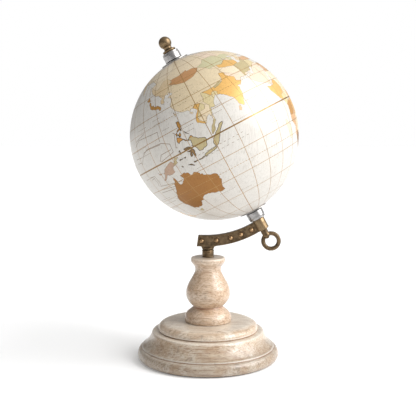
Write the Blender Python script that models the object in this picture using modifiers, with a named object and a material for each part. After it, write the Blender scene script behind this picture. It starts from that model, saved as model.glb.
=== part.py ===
"""Desktop globe on a turned wooden stand, with a riveted metal arm and a spinning map ball.

Metres, +Z up. The origin is the centre of the felt pad's underside, on the stand's vertical axis.
The arm lies in the XZ plane. It leaves the stand towards +X and carries the globe's axis, whose
north end leans towards -X.
"""

import math

import bmesh
import bpy
from mathutils import Matrix, Vector

MM = 0.001

# Clearances
TOUCH_GAP = 0.3 * MM  # between faces that rest on each other or are bonded
RUN_GAP = 0.2 * MM  # between end faces that turn past each other
BORE_GAP = 0.1 * MM  # radial, between the axle and what turns on it
HOLE_GAP = 0.4 * MM  # radial, between the tie rod and the plain holes it passes through
THREAD_GAP = 0.1 * MM  # radial, where a rod is screwed into a piece
GLUE_GAP = 0.6 * MM  # filled with glue, between what is bonded inside the ball and its wall
RIVET_GAP = 0.1 * MM  # around a rivet's shank and under its heads

# Stand
FELT_INSET = 3.2 * MM  # from the base's side in to the felt's edge
FELT_THICKNESS = 1.0 * MM
BASE_RADIUS = 64.2 * MM
BASE_HEIGHT = 32.6 * MM
BASE_DISC_RADIUS = 45.3 * MM  # the raised upper disc
BASE_DISC_HEIGHT = 8.2 * MM
BASE_LEDGE = 5.7 * MM  # from the disc's side out to the top of the ogee
BASE_PLINTH_HEIGHT = 9.6 * MM
OGEE = ((0.0, 0.0), (0.11, 0.23), (0.26, 0.47), (0.64, 0.79), (1.0, 1.0))  # shares, out and down
COUNTERBORE_RADIUS = 11.0 * MM
COUNTERBORE_DEPTH = 10.0 * MM
TENON_RADIUS = 8.0 * MM
TENON_LENGTH = 12.0 * MM
SPINDLE_HEIGHT = 58.8 * MM
SPINDLE_FOOT_RADIUS = 21.4 * MM
SPINDLE_WAIST_RADIUS = 13.1 * MM
SPINDLE_BULB_RADIUS = 20.0 * MM
SPINDLE_NECK_RADIUS = 11.6 * MM
SPINDLE_COLLAR_RADIUS = 15.6 * MM
TIE_ROD_RADIUS = 2.5 * MM
TIE_WASHER_RADIUS = 7.5 * MM
TIE_WASHER_THICKNESS = 1.2 * MM
TIE_NUT_FLATS = 8.0 * MM
TIE_NUT_HEIGHT = 4.7 * MM
TIE_ROD_END = 1.2 * MM  # the rod stands this far out of its nut
FERRULE_RADIUS = 5.5 * MM
FERRULE_HEIGHT = 6.6 * MM
FERRULE_EDGE = 0.8 * MM
SWIVEL_WASHER_RADIUS = 4.9 * MM
SWIVEL_WASHER_THICKNESS = 0.5 * MM

# Arm
ARM_THICKNESS = 6.8 * MM
ARM_DEPTH = 9.8 * MM
ARM_RADIUS = 87.1 * MM  # of the centre line's curve
ARM_CURVE_START = -2.0 * MM  # x where the straight heel becomes the curve
ARM_HEEL = 8.0 * MM  # length of the straight heel
ARM_HEEL_SLANT = 1.3 * MM
ARM_RISE = 7.2 * MM  # centre line above the flange's underside
ARM_BOSS_ANGLE = math.radians(34.6)  # along the curve, to the middle of the boss
ARM_EDGE = 0.4 * MM
NECK_FILLET = 1.2 * MM
FLANGE_RADIUS = 5.5 * MM
FLANGE_HEIGHT = 0.9 * MM
TIE_ROD_ENGAGEMENT = 8.5 * MM
BOSS_RADIUS = 5.6 * MM
BOSS_LENGTH = 10.8 * MM
RIVET_STATIONS = (-3.6 * MM, 9.8 * MM, 23.0 * MM, 32.7 * MM, 43.2 * MM)  # along the centre line
RIVET_SHANK_RADIUS = 1.2 * MM
RIVET_HEAD_RADIUS = 1.9 * MM
RIVET_HEAD_HEIGHT = 1.2 * MM

# Globe and its axis
GLOBE_RADIUS = 75.0 * MM
AXIS_TILT = math.radians(28.0)
MAP_THICKNESS = 0.3 * MM
SHELL_THICKNESS = 2.0 * MM
POLE_HOLE_RADIUS = 4.7 * MM
SEAM_BAND_THICKNESS = 1.5 * MM
SEAM_BAND_HEIGHT = 12.0 * MM
BUSH_FLANGE_RADIUS = 11.0 * MM
BUSH_DEPTH = 7.0 * MM
AXLE_RADIUS = 2.0 * MM
POLAR_DISC_RADIUS = 12.7 * MM
POLAR_DISC_THICKNESS = 0.6 * MM
COLLAR_RADIUS = 7.75 * MM
COLLAR_EDGE = 0.4 * MM
SOUTH_COLLAR_LENGTH = 7.5 * MM
NORTH_COLLAR_LENGTH = 7.6 * MM

# Eye nut and finial
EYE_RADIUS = 7.55 * MM  # of the ring's wire, at its centre
EYE_WIRE_RADIUS = 1.65 * MM
EYE_OFFSET = 1.2 * MM  # the ring sits this far off the axis
EYE_NECK_RADIUS = 3.2 * MM
EYE_NECK_LENGTH = 5.5 * MM
EYE_TIP_LENGTH = 3.3 * MM
EYE_THREAD_DEPTH = 4.6 * MM
FINIAL_FLANGE_RADIUS = 6.0 * MM
FINIAL_FLANGE_HEIGHT = 2.0 * MM
FINIAL_NECK_RADIUS = 3.6 * MM
FINIAL_BALL_RADIUS = 5.65 * MM
FINIAL_BALL_RISE = 9.0 * MM  # ball's centre above the flange's underside
FINIAL_THREAD_DEPTH = 8.5 * MM

# Fineness of the round pieces
GLOBE_STEPS = 28
GLOBE_ROWS = 8  # in each half
TURNED_STEPS = 28
SMALL_STEPS = 20

# Heights of the stand's stack, from the felt upwards
BASE_BOTTOM = FELT_THICKNESS + TOUCH_GAP
BASE_TOP = BASE_BOTTOM + BASE_HEIGHT
SPINDLE_BOTTOM = BASE_TOP + TOUCH_GAP
SPINDLE_TOP = SPINDLE_BOTTOM + SPINDLE_HEIGHT
FERRULE_BOTTOM = SPINDLE_TOP + TOUCH_GAP
FERRULE_TOP = FERRULE_BOTTOM + FERRULE_HEIGHT
SWIVEL_WASHER_BOTTOM = FERRULE_TOP + RUN_GAP
SWIVEL_WASHER_TOP = SWIVEL_WASHER_BOTTOM + SWIVEL_WASHER_THICKNESS
ARM_BOTTOM = SWIVEL_WASHER_TOP + RUN_GAP
ARM_LINE = ARM_BOTTOM + ARM_RISE
TIE_WASHER_TOP = BASE_BOTTOM + COUNTERBORE_DEPTH - RUN_GAP
TIE_NUT_TOP = TIE_WASHER_TOP - TIE_WASHER_THICKNESS - RUN_GAP
TIE_NUT_BOTTOM = TIE_NUT_TOP - TIE_NUT_HEIGHT

# Distances from the globe's centre along its axis, the same towards both poles
DISC_INNER = GLOBE_RADIUS + TOUCH_GAP
DISC_OUTER = DISC_INNER + POLAR_DISC_THICKNESS
COLLAR_START = DISC_OUTER + RUN_GAP
BOSS_START = COLLAR_START + SOUTH_COLLAR_LENGTH + TOUCH_GAP
BOSS_END = BOSS_START + BOSS_LENGTH
EYE_START = BOSS_END + TOUCH_GAP
FINIAL_START = COLLAR_START + NORTH_COLLAR_LENGTH + TOUCH_GAP
MAP_INNER = GLOBE_RADIUS - MAP_THICKNESS
SHELL_OUTER = MAP_INNER - RUN_GAP
SHELL_INNER = SHELL_OUTER - SHELL_THICKNESS

ARM_CURVE_CENTRE = Vector((ARM_CURVE_START, 0.0, ARM_LINE + ARM_RADIUS))
AXIS = Vector((-math.sin(AXIS_TILT), 0.0, math.cos(AXIS_TILT)))  # towards the north pole
BOSS_CENTRE = ARM_CURVE_CENTRE + ARM_RADIUS * Vector(
    (math.sin(ARM_BOSS_ANGLE), 0.0, -math.cos(ARM_BOSS_ANGLE))
)
GLOBE_CENTRE = BOSS_CENTRE + AXIS * (BOSS_START + BOSS_LENGTH / 2)


# ---------------------------------------------------------------- outlines


def arc(centre, radius, start, end, count):
    """Points on a circle from one angle to another, in degrees, both ends included."""
    angles = [math.radians(start + (end - start) * i / count) for i in range(count + 1)]
    return [(centre[0] + radius * math.cos(a), centre[1] + radius * math.sin(a)) for a in angles]


def flowing(points, count):
    """Points on a smooth curve through the given points (a Catmull-Rom spline)."""
    found = []
    last = len(points) - 1
    for i in range(last):
        p0, p1, p2, p3 = (Vector(points[min(max(k, 0), last)]) for k in range(i - 1, i + 3))
        for step in range(count):
            t = step / count
            bend = (2 * p0 - 5 * p1 + 4 * p2 - p3) * t**2 + (3 * p1 - p0 - 3 * p2 + p3) * t**3
            found.append(tuple(p1 + 0.5 * ((p2 - p0) * t + bend)))
    return found + [tuple(points[-1])]


def flipped(points):
    """The outline seen from the other pole: z reversed, and run the other way round."""
    return [(r, -z) for r, z in reversed(points)]


# ---------------------------------------------------------------- objects


def collection(name, cutters=False):
    found = bpy.data.collections.new(name)
    found.hide_render = cutters
    bpy.context.scene.collection.children.link(found)
    return found


def material(name, colour, roughness, metallic=0.0):
    found = bpy.data.materials.new(name)
    found.use_nodes = True
    shader = found.node_tree.nodes["Principled BSDF"]
    shader.inputs["Base Color"].default_value = (*colour, 1.0)
    shader.inputs["Roughness"].default_value = roughness
    shader.inputs["Metallic"].default_value = metallic
    found.diffuse_color = (*colour, 1.0)
    return found


def add(name, mesh, look, parent=None):
    """A new part from this mesh, in the parts' collection."""
    obj = bpy.data.objects.new(name, mesh)
    PARTS.objects.link(obj)
    mesh.materials.append(look)
    mesh.shade_smooth()
    mesh.set_sharp_from_angle(angle=math.radians(35))
    obj.parent = parent
    return obj


def add_cutter(name, mesh, parent=None):
    obj = bpy.data.objects.new(name, mesh)
    CUTTERS.objects.link(obj)
    obj.hide_render = True
    obj.display_type = "WIRE"
    obj.parent = parent
    return obj


def boolean(obj, other, operation):
    modifier = obj.modifiers.new(other.name, "BOOLEAN")
    modifier.operation = operation
    modifier.solver = "EXACT"
    modifier.object = other


def baked(obj):
    """The object's mesh with its modifiers applied. The object itself is removed."""
    graph = bpy.context.evaluated_depsgraph_get()
    mesh = bpy.data.meshes.new_from_object(obj.evaluated_get(graph))
    bpy.data.objects.remove(obj)
    return mesh


def turned(outline, steps, on_axis=False):
    """A turned solid about Z. The outline is a ring of (r, z), down its outer side; on_axis leaves it
    open, from the axis at the top to the axis at the bottom."""
    profile = bmesh.new()
    points = [profile.verts.new((r, 0.0, z)) for r, z in outline]
    for a, b in zip(points, points[1:]):
        profile.edges.new((a, b))
    if not on_axis:
        profile.edges.new((points[-1], points[0]))
    mesh = bpy.data.meshes.new("profile")
    profile.to_mesh(mesh)
    profile.free()
    obj = bpy.data.objects.new("profile", mesh)
    bpy.context.scene.collection.objects.link(obj)
    screw = obj.modifiers.new("turn", "SCREW")
    screw.steps = screw.render_steps = steps
    screw.use_merge_vertices = True
    screw.merge_threshold = 0.00001
    bpy.context.view_layer.update()
    return baked(obj)


def cylinder(radius, low, high, steps):
    """A closed cylinder along Z."""
    solid = bmesh.new()
    place = Matrix.Translation((0.0, 0.0, (low + high) / 2))
    bmesh.ops.create_cone(
        solid,
        cap_ends=True,
        segments=steps,
        radius1=radius,
        radius2=radius,
        depth=high - low,
        matrix=place,
    )
    mesh = bpy.data.meshes.new("cylinder")
    solid.to_mesh(mesh)
    solid.free()
    return mesh


def gathered(mesh, places):
    """One mesh of separate copies of this one."""
    solid = bmesh.new()
    for place in places:
        copy = mesh.copy()
        copy.transform(place)
        solid.from_mesh(copy)
        bpy.data.meshes.remove(copy)
    found = bpy.data.meshes.new("group")
    solid.to_mesh(found)
    solid.free()
    return found


def ring(inner, outer, low, high, edge, steps):
    """A tube along Z with small bevels on its outer corners."""
    outline = [(inner, high), (outer - edge, high), (outer, high - edge)]
    outline += [(outer, low + edge), (outer - edge, low), (inner, low)]
    return turned(outline, steps)


# ---------------------------------------------------------------- stand


def make_felt_pad(look):
    mesh = cylinder(BASE_RADIUS - FELT_INSET, 0.0, FELT_THICKNESS, TURNED_STEPS)
    return add("felt_pad", mesh, look)


def base_outline():
    """The base's outer side: flat top, rounded disc edge, groove, ogee, groove and rounded plinth."""
    disc_foot = BASE_TOP - BASE_DISC_HEIGHT
    plinth_top = BASE_BOTTOM + BASE_PLINTH_HEIGHT
    disc_edge = [
        (BASE_DISC_RADIUS - 10.3 * MM, BASE_TOP),
        (BASE_DISC_RADIUS - 3.8 * MM, BASE_TOP - 0.7 * MM),
        (BASE_DISC_RADIUS - 0.5 * MM, BASE_TOP - 2.6 * MM),
        (BASE_DISC_RADIUS, BASE_TOP - 4.6 * MM),
        (BASE_DISC_RADIUS - 0.3 * MM, disc_foot + 1.2 * MM),
    ]
    neck = BASE_DISC_RADIUS - 1.1 * MM
    groove = [(neck, disc_foot + 0.6 * MM), (neck, disc_foot)]
    shoulder = BASE_DISC_RADIUS + BASE_LEDGE
    spread = BASE_RADIUS - 4.4 * MM - shoulder
    fall = disc_foot - 1.1 * MM - plinth_top - 1.4 * MM
    ogee = [(shoulder - 2.4 * MM, disc_foot + 0.2 * MM)]
    ogee += [
        (shoulder + across * spread, disc_foot - 1.1 * MM - down * fall) for across, down in OGEE
    ]
    step = [(BASE_RADIUS - 3.9 * MM, plinth_top + 0.1 * MM)]
    step += [(BASE_RADIUS - 3.3 * MM, plinth_top - 0.2 * MM)]
    plinth = [
        (BASE_RADIUS - 2.2 * MM, plinth_top - 0.6 * MM),
        (BASE_RADIUS - 0.7 * MM, plinth_top - 2.5 * MM),
        (BASE_RADIUS, plinth_top - 5.6 * MM),
        (BASE_RADIUS - 0.2 * MM, BASE_BOTTOM + 1.5 * MM),
        (BASE_RADIUS - 1.3 * MM, BASE_BOTTOM),
    ]
    return flowing(disc_edge, 2) + groove + flowing(ogee, 2) + step + flowing(plinth, 2)


def make_base(look):
    bore = TIE_ROD_RADIUS + HOLE_GAP
    socket = TENON_RADIUS + TOUCH_GAP
    socket_floor = BASE_TOP - TENON_LENGTH
    recess = BASE_BOTTOM + COUNTERBORE_DEPTH
    outline = [(socket, BASE_TOP)] + base_outline()
    outline += [(COUNTERBORE_RADIUS, BASE_BOTTOM), (COUNTERBORE_RADIUS, recess)]
    outline += [(bore, recess), (bore, socket_floor), (socket, socket_floor)]
    return add("base", turned(outline, TURNED_STEPS), look)


def at_spindle(radius, share):
    """A point of the spindle's side, at this share of the spindle's height."""
    return (radius, SPINDLE_BOTTOM + share * SPINDLE_HEIGHT)


def spindle_outline():
    """The baluster's outer side: collar, neck, bulb, sharp waist and a rounded foot."""
    collar = [
        at_spindle(SPINDLE_COLLAR_RADIUS - 0.9 * MM, 1.0),
        at_spindle(SPINDLE_COLLAR_RADIUS - 0.2 * MM, 0.99),
        at_spindle(SPINDLE_COLLAR_RADIUS, 0.96),
        at_spindle(SPINDLE_COLLAR_RADIUS - 0.4 * MM, 0.925),
        at_spindle(SPINDLE_NECK_RADIUS + 1.5 * MM, 0.881),
        at_spindle(SPINDLE_NECK_RADIUS, 0.816),
    ]
    bulb = [
        at_spindle(SPINDLE_NECK_RADIUS, 0.816),
        at_spindle(SPINDLE_NECK_RADIUS + 1.3 * MM, 0.745),
        at_spindle(SPINDLE_BULB_RADIUS - 3.4 * MM, 0.629),
        at_spindle(SPINDLE_BULB_RADIUS - 0.6 * MM, 0.52),
        at_spindle(SPINDLE_BULB_RADIUS, 0.432),
        at_spindle(SPINDLE_BULB_RADIUS - 1.2 * MM, 0.347),
        at_spindle(SPINDLE_WAIST_RADIUS + 2.1 * MM, 0.267),
        at_spindle(SPINDLE_WAIST_RADIUS, 0.235),
    ]
    foot = [
        at_spindle(SPINDLE_WAIST_RADIUS + 2.9 * MM, 0.185),
        at_spindle(SPINDLE_FOOT_RADIUS - 2.6 * MM, 0.143),
        at_spindle(SPINDLE_FOOT_RADIUS - 0.5 * MM, 0.082),
        at_spindle(SPINDLE_FOOT_RADIUS, 0.037),
        at_spindle(SPINDLE_FOOT_RADIUS - 0.4 * MM, 0.0),
    ]
    return flowing(collar, 2) + flowing(bulb, 2)[1:] + flowing(foot, 2)


def make_spindle(look):
    bore = TIE_ROD_RADIUS + HOLE_GAP
    tenon_end = SPINDLE_BOTTOM - TENON_LENGTH
    outline = [(bore, SPINDLE_TOP)] + spindle_outline()
    outline += [(TENON_RADIUS, SPINDLE_BOTTOM), (TENON_RADIUS, tenon_end), (bore, tenon_end)]
    return add("spindle", turned(outline, TURNED_STEPS), look)


def make_ferrule(look):
    bore = TIE_ROD_RADIUS + HOLE_GAP
    mesh = ring(bore, FERRULE_RADIUS, FERRULE_BOTTOM, FERRULE_TOP, FERRULE_EDGE, SMALL_STEPS)
    return add("stem_ferrule", mesh, look)


def make_swivel_washer(look):
    bore = TIE_ROD_RADIUS + HOLE_GAP
    outline = [(bore, SWIVEL_WASHER_TOP), (SWIVEL_WASHER_RADIUS, SWIVEL_WASHER_TOP)]
    outline += [(SWIVEL_WASHER_RADIUS, SWIVEL_WASHER_BOTTOM), (bore, SWIVEL_WASHER_BOTTOM)]
    return add("swivel_washer", turned(outline, SMALL_STEPS), look)


def make_tie_rod(look, swivel):
    low = TIE_NUT_BOTTOM - TIE_ROD_END
    high = ARM_BOTTOM + TIE_ROD_ENGAGEMENT - TOUCH_GAP
    return add("tie_rod", cylinder(TIE_ROD_RADIUS, low, high, SMALL_STEPS), look, swivel)


def make_tie_washer(look):
    bore = TIE_ROD_RADIUS + HOLE_GAP
    low = TIE_WASHER_TOP - TIE_WASHER_THICKNESS
    outline = [(bore, TIE_WASHER_TOP), (TIE_WASHER_RADIUS, TIE_WASHER_TOP)]
    outline += [(TIE_WASHER_RADIUS, low), (bore, low)]
    return add("tie_washer", turned(outline, SMALL_STEPS), look)


def make_tie_nut(look, swivel):
    """A plain hexagon nut, drilled for the rod."""
    corner_radius = TIE_NUT_FLATS / 2 / math.cos(math.radians(30))
    nut = add("tie_nut", cylinder(corner_radius, TIE_NUT_BOTTOM, TIE_NUT_TOP, 6), look, swivel)
    drill = cylinder(TIE_ROD_RADIUS + THREAD_GAP, TIE_NUT_BOTTOM - MM, TIE_NUT_TOP + MM, SMALL_STEPS)
    boolean(nut, add_cutter("tie_nut_drill", drill, swivel), "DIFFERENCE")
    return nut


# ---------------------------------------------------------------- arm


def on_arm(along, across=0.0):
    """A point of the arm's plane: so far along its centre line, and so far above it."""
    if along < 0:
        return (ARM_CURVE_START + along, ARM_LINE + across)
    angle = along / ARM_RADIUS
    reach = ARM_RADIUS - across
    centre = ARM_CURVE_CENTRE
    return (centre.x + reach * math.sin(angle), centre.z - reach * math.cos(angle))


def arm_outline():
    """The arm's side view: slanted heel, neck below it, and the curved bar up to the boss."""
    half = ARM_DEPTH / 2
    floor = ARM_LINE - half
    ledge = ARM_BOTTOM + FLANGE_HEIGHT / 2
    fillet = NECK_FILLET
    heel = -ARM_HEEL
    left = arc((-FLANGE_RADIUS - fillet, floor - fillet), fillet, 90, 0, 4)
    right = arc((FLANGE_RADIUS + fillet, floor - fillet), fillet, 180, 90, 4)
    outline = [on_arm(heel + ARM_HEEL_SLANT, half), on_arm(heel, -half)] + left
    outline += [(-FLANGE_RADIUS, ledge), (FLANGE_RADIUS, ledge)] + right
    begin = FLANGE_RADIUS + fillet - ARM_CURVE_START
    end = ARM_BOSS_ANGLE * ARM_RADIUS - BOSS_RADIUS / 2
    count = 12
    lower = [begin + (end - begin) * i / count for i in range(count + 1)]
    outline += [on_arm(along, -half) for along in lower[1:]]
    outline += [on_arm(end * (count - i) / count, half) for i in range(count + 1)]
    return outline


def arm_blank():
    """The outline as a closed prism, centred on the XZ plane."""
    solid = bmesh.new()
    points = [solid.verts.new((x, -ARM_THICKNESS / 2, z)) for x, z in arm_outline()]
    face = solid.faces.new(points)
    grown = bmesh.ops.extrude_face_region(solid, geom=[face])
    moved = [v for v in grown["geom"] if isinstance(v, bmesh.types.BMVert)]
    bmesh.ops.translate(solid, verts=moved, vec=(0.0, ARM_THICKNESS, 0.0))
    bmesh.ops.recalc_face_normals(solid, faces=solid.faces)
    mesh = bpy.data.meshes.new("arm")
    solid.to_mesh(mesh)
    solid.free()
    return mesh


def rivet_places():
    """Each rivet's frame: its own Z runs through the arm, along -Y."""
    upright = Matrix.Rotation(math.radians(90), 4, "X")
    centres = [on_arm(along) for along in RIVET_STATIONS]
    return [Matrix.Translation((x, 0.0, z)) @ upright for x, z in centres]


def make_arm(look, swivel, axis):
    arm = add("arm", arm_blank(), look, swivel)
    bevel = arm.modifiers.new("edges", "BEVEL")
    bevel.width = ARM_EDGE
    bevel.segments = 2
    bevel.limit_method = "ANGLE"
    bevel.angle_limit = math.radians(40)
    flange = cylinder(FLANGE_RADIUS, ARM_BOTTOM, ARM_BOTTOM + FLANGE_HEIGHT, SMALL_STEPS)
    boolean(arm, add_cutter("arm_flange", flange, swivel), "UNION")
    thread_end = ARM_BOTTOM + TIE_ROD_ENGAGEMENT
    drill = cylinder(TIE_ROD_RADIUS + THREAD_GAP, ARM_BOTTOM - MM, thread_end, SMALL_STEPS)
    boolean(arm, add_cutter("arm_drill", drill, swivel), "DIFFERENCE")
    hole = cylinder(RIVET_SHANK_RADIUS + RIVET_GAP, -ARM_THICKNESS, ARM_THICKNESS, 12)
    boolean(arm, add_cutter("rivet_holes", gathered(hole, rivet_places()), swivel), "DIFFERENCE")
    seat = cylinder(BOSS_RADIUS + TOUCH_GAP, -BOSS_END - 5 * MM, -BOSS_START + 5 * MM, SMALL_STEPS)
    boolean(arm, add_cutter("boss_seat", seat, axis), "DIFFERENCE")
    return arm


def make_rivets(look, swivel):
    """Through rivets with a domed head on both sides. They share one mesh."""
    face = ARM_THICKNESS / 2 + RIVET_GAP
    rise = RIVET_HEAD_HEIGHT / RIVET_HEAD_RADIUS
    dome = [(r, z * rise) for r, z in arc((0.0, 0.0), RIVET_HEAD_RADIUS, 90, 0, 3)]
    dome[0] = (0.0, RIVET_HEAD_HEIGHT)
    upper = [(r, face + z) for r, z in dome] + [(RIVET_SHANK_RADIUS, face)]
    mesh = turned(upper + flipped(upper), 10, on_axis=True)
    first = add("arm_rivet_1", mesh, look, swivel)
    first.matrix_local, *others = rivet_places()
    for number, place in enumerate(others, start=2):
        rivet = first.copy()
        rivet.name = f"arm_rivet_{number}"
        rivet.matrix_local = place
        PARTS.objects.link(rivet)


def make_boss(look, axis):
    bore = AXLE_RADIUS + THREAD_GAP
    mesh = ring(bore, BOSS_RADIUS, -BOSS_END, -BOSS_START, COLLAR_EDGE, SMALL_STEPS)
    return add("arm_boss", mesh, look, axis)


# ---------------------------------------------------------------- axle and what it carries


def make_axle(look, axis):
    low = -EYE_START - EYE_THREAD_DEPTH + TOUCH_GAP
    high = FINIAL_START + FINIAL_THREAD_DEPTH - TOUCH_GAP
    return add("axle_rod", cylinder(AXLE_RADIUS, low, high, SMALL_STEPS), look, axis)


def make_collar(name, low, high, look, axis):
    bore = AXLE_RADIUS + THREAD_GAP
    return add(name, ring(bore, COLLAR_RADIUS, low, high, COLLAR_EDGE, SMALL_STEPS), look, axis)


def make_eye_nut(look, axis):
    """A threaded neck with a round eye across it. The neck's coned end shows inside the eye."""
    top = -EYE_START
    eye = top - EYE_NECK_LENGTH
    tip = eye - EYE_TIP_LENGTH
    outline = [(0.0, top), (EYE_NECK_RADIUS - 0.2 * MM, top), (EYE_NECK_RADIUS, top - 0.3 * MM)]
    outline += [(EYE_NECK_RADIUS - 0.1 * MM, eye + 1.2 * MM), (EYE_NECK_RADIUS + 0.4 * MM, eye)]
    outline += [(EYE_NECK_RADIUS - 0.5 * MM, eye - EYE_TIP_LENGTH / 3), (1.0 * MM, tip), (0.0, tip)]
    nut = add("eye_nut", turned(outline, SMALL_STEPS, on_axis=True), look, axis)
    bpy.ops.mesh.primitive_torus_add(
        major_segments=24,
        minor_segments=10,
        major_radius=EYE_RADIUS,
        minor_radius=EYE_WIRE_RADIUS,
        rotation=(math.radians(90), 0.0, 0.0),
    )
    loop = bpy.context.object
    mesh = loop.data
    centre = Vector((EYE_OFFSET, 0.0, eye - EYE_RADIUS + EYE_WIRE_RADIUS / 2))
    mesh.transform(Matrix.Translation(centre) @ loop.matrix_world)
    bpy.data.objects.remove(loop)
    boolean(nut, add_cutter("eye_loop", mesh, axis), "UNION")
    drill = cylinder(AXLE_RADIUS + THREAD_GAP, top - EYE_THREAD_DEPTH, top + MM, SMALL_STEPS)
    boolean(nut, add_cutter("eye_drill", drill, axis), "DIFFERENCE")
    return nut


def make_finial(look, axis):
    """A flanged ball nut with a blind thread."""
    hole = AXLE_RADIUS + THREAD_GAP
    floor = FINIAL_START
    flange_top = floor + FINIAL_FLANGE_HEIGHT
    centre = (0.0, floor + FINIAL_BALL_RISE)
    ball = arc(centre, FINIAL_BALL_RADIUS, 90, -45, 10)
    ball[0] = (0.0, centre[1] + FINIAL_BALL_RADIUS)
    outline = ball + [(FINIAL_NECK_RADIUS, flange_top + 1.5 * MM)]
    outline += [(FINIAL_NECK_RADIUS + 0.4 * MM, flange_top + 0.4 * MM)]
    outline += [(FINIAL_FLANGE_RADIUS - 0.7 * MM, flange_top)]
    outline += [(FINIAL_FLANGE_RADIUS, flange_top - 0.7 * MM)]
    outline += [(FINIAL_FLANGE_RADIUS, floor + 0.5 * MM), (FINIAL_FLANGE_RADIUS - 0.5 * MM, floor)]
    depth = floor + FINIAL_THREAD_DEPTH
    outline += [(hole, floor), (hole, depth), (0.0, depth)]
    return add("finial", turned(outline, SMALL_STEPS, on_axis=True), look, axis)


# ---------------------------------------------------------------- globe


def cap_arc(radius, from_radius, to_radius, count):
    """Points on a sphere's outline between two distances from the axis, in the north half."""
    start = math.degrees(math.acos(from_radius / radius))
    end = math.degrees(math.acos(to_radius / radius))
    return arc((0.0, 0.0), radius, start, end, count)


def half_arc(radius):
    """A sphere's outline from the edge of the pole hole to the equator. Every layer of the ball uses
    the same latitudes, so that its facets stay parallel to the next layer's."""
    edge = math.degrees(math.acos(POLE_HOLE_RADIUS / GLOBE_RADIUS))
    return arc((0.0, 0.0), radius, edge, 0, GLOBE_ROWS)


def make_map_skin(look, axis):
    """The printed paper, as one thin sphere with a small hole at each pole."""
    outer, inner = half_arc(GLOBE_RADIUS), half_arc(MAP_INNER)
    outline = outer + flipped(outer)[1:]
    outline += [(r, -z) for r, z in inner] + inner[::-1][1:]
    return add("map_skin", turned(outline, GLOBE_STEPS), look, axis)


def half_shell_outline():
    """The north half of the ball, from the pole hole down to the seam and back inside."""
    seam = TOUCH_GAP / 2
    outer, inner = half_arc(SHELL_OUTER), half_arc(SHELL_INNER)
    outer[-1] = (SHELL_OUTER, seam)
    inner[-1] = (SHELL_INNER, seam)
    return outer + inner[::-1]


def make_shells(look, axis):
    outline = half_shell_outline()
    add("globe_shell_north", turned(outline, GLOBE_STEPS), look, axis)
    add("globe_shell_south", turned(flipped(outline), GLOBE_STEPS), look, axis)


def make_seam_band(look, axis):
    """The strip glued inside the seam between the two halves."""
    half = SEAM_BAND_HEIGHT / 2
    outer = math.sqrt(SHELL_INNER**2 - half**2) - GLUE_GAP
    outline = [(outer - SEAM_BAND_THICKNESS, half), (outer, half), (outer, -half)]
    outline += [(outer - SEAM_BAND_THICKNESS, -half)]
    return add("seam_band", turned(outline, GLOBE_STEPS), look, axis)


def bush_outline():
    """The north pole bush: a spigot through the shell's hole and a flange glued inside it."""
    bore = AXLE_RADIUS + BORE_GAP
    spigot = POLE_HOLE_RADIUS * SHELL_INNER / GLOBE_RADIUS - TOUCH_GAP
    top = SHELL_OUTER - TOUCH_GAP
    seat = cap_arc(SHELL_INNER - GLUE_GAP, spigot, BUSH_FLANGE_RADIUS, 2)
    low = seat[-1][1] - BUSH_DEPTH
    return [(bore, top), (spigot, top)] + seat + [(BUSH_FLANGE_RADIUS, low), (bore, low)]


def make_pole_bushes(look, axis):
    outline = bush_outline()
    add("pole_bush_north", turned(outline, SMALL_STEPS), look, axis)
    add("pole_bush_south", turned(flipped(outline), SMALL_STEPS), look, axis)


def make_polar_discs(look, axis):
    """Thin dished plates on the map, one round each pole."""
    hole = AXLE_RADIUS + TOUCH_GAP
    outer = cap_arc(DISC_OUTER, hole, POLAR_DISC_RADIUS, 2)
    inner = cap_arc(DISC_INNER, hole, POLAR_DISC_RADIUS, 2)
    outline = outer + inner[::-1]
    add("polar_disc_north", turned(outline, GLOBE_STEPS), look, axis)
    add("polar_disc_south", turned(flipped(outline), GLOBE_STEPS), look, axis)


# ---------------------------------------------------------------- the whole object


def empty(name, place=(0.0, 0.0, 0.0), rotation=(0.0, 0.0, 0.0)):
    found = bpy.data.objects.new(name, None)
    PARTS.objects.link(found)
    found.location = place
    found.rotation_euler = rotation
    return found


def build():
    wood = material("limed_wood", (0.76, 0.64, 0.52), 0.5)
    felt = material("dark_felt", (0.08, 0.08, 0.08), 0.95)
    brass = material("antique_brass", (0.34, 0.26, 0.17), 0.4, 1.0)
    bright_brass = material("rubbed_brass", (0.55, 0.42, 0.26), 0.3, 1.0)
    steel = material("zinc_steel", (0.6, 0.6, 0.6), 0.4, 1.0)
    nickel = material("nickel", (0.75, 0.75, 0.75), 0.2, 1.0)
    paper = material("map_paper", (0.82, 0.8, 0.76), 0.45)
    board = material("pressed_board", (0.5, 0.42, 0.33), 0.8)
    plastic = material("bush_plastic", (0.85, 0.85, 0.82), 0.5)
    plate = material("grey_plate", (0.5, 0.49, 0.47), 0.35, 1.0)

    swivel = empty("swivel_axis")
    axis = empty("globe_axis", GLOBE_CENTRE, (0.0, -AXIS_TILT, 0.0))

    make_felt_pad(felt)
    make_base(wood)
    make_spindle(wood)
    make_ferrule(brass)
    make_swivel_washer(steel)
    make_tie_washer(steel)

    make_arm(brass, swivel, axis)
    make_rivets(bright_brass, swivel)
    make_boss(bright_brass, axis)
    make_tie_rod(steel, swivel)
    make_tie_nut(steel, swivel)
    make_axle(steel, axis)
    make_collar("south_collar", -COLLAR_START - SOUTH_COLLAR_LENGTH, -COLLAR_START, nickel, axis)
    make_collar("north_collar", COLLAR_START, COLLAR_START + NORTH_COLLAR_LENGTH, nickel, axis)
    make_eye_nut(brass, axis)
    make_finial(bright_brass, axis)

    make_map_skin(paper, axis)
    make_shells(board, axis)
    make_seam_band(board, axis)
    make_pole_bushes(plastic, axis)
    make_polar_discs(plate, axis)


for old in list(bpy.data.objects):
    bpy.data.objects.remove(old)
PARTS = collection("desktop_globe")
CUTTERS = collection("cutters", cutters=True)
build()
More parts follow.
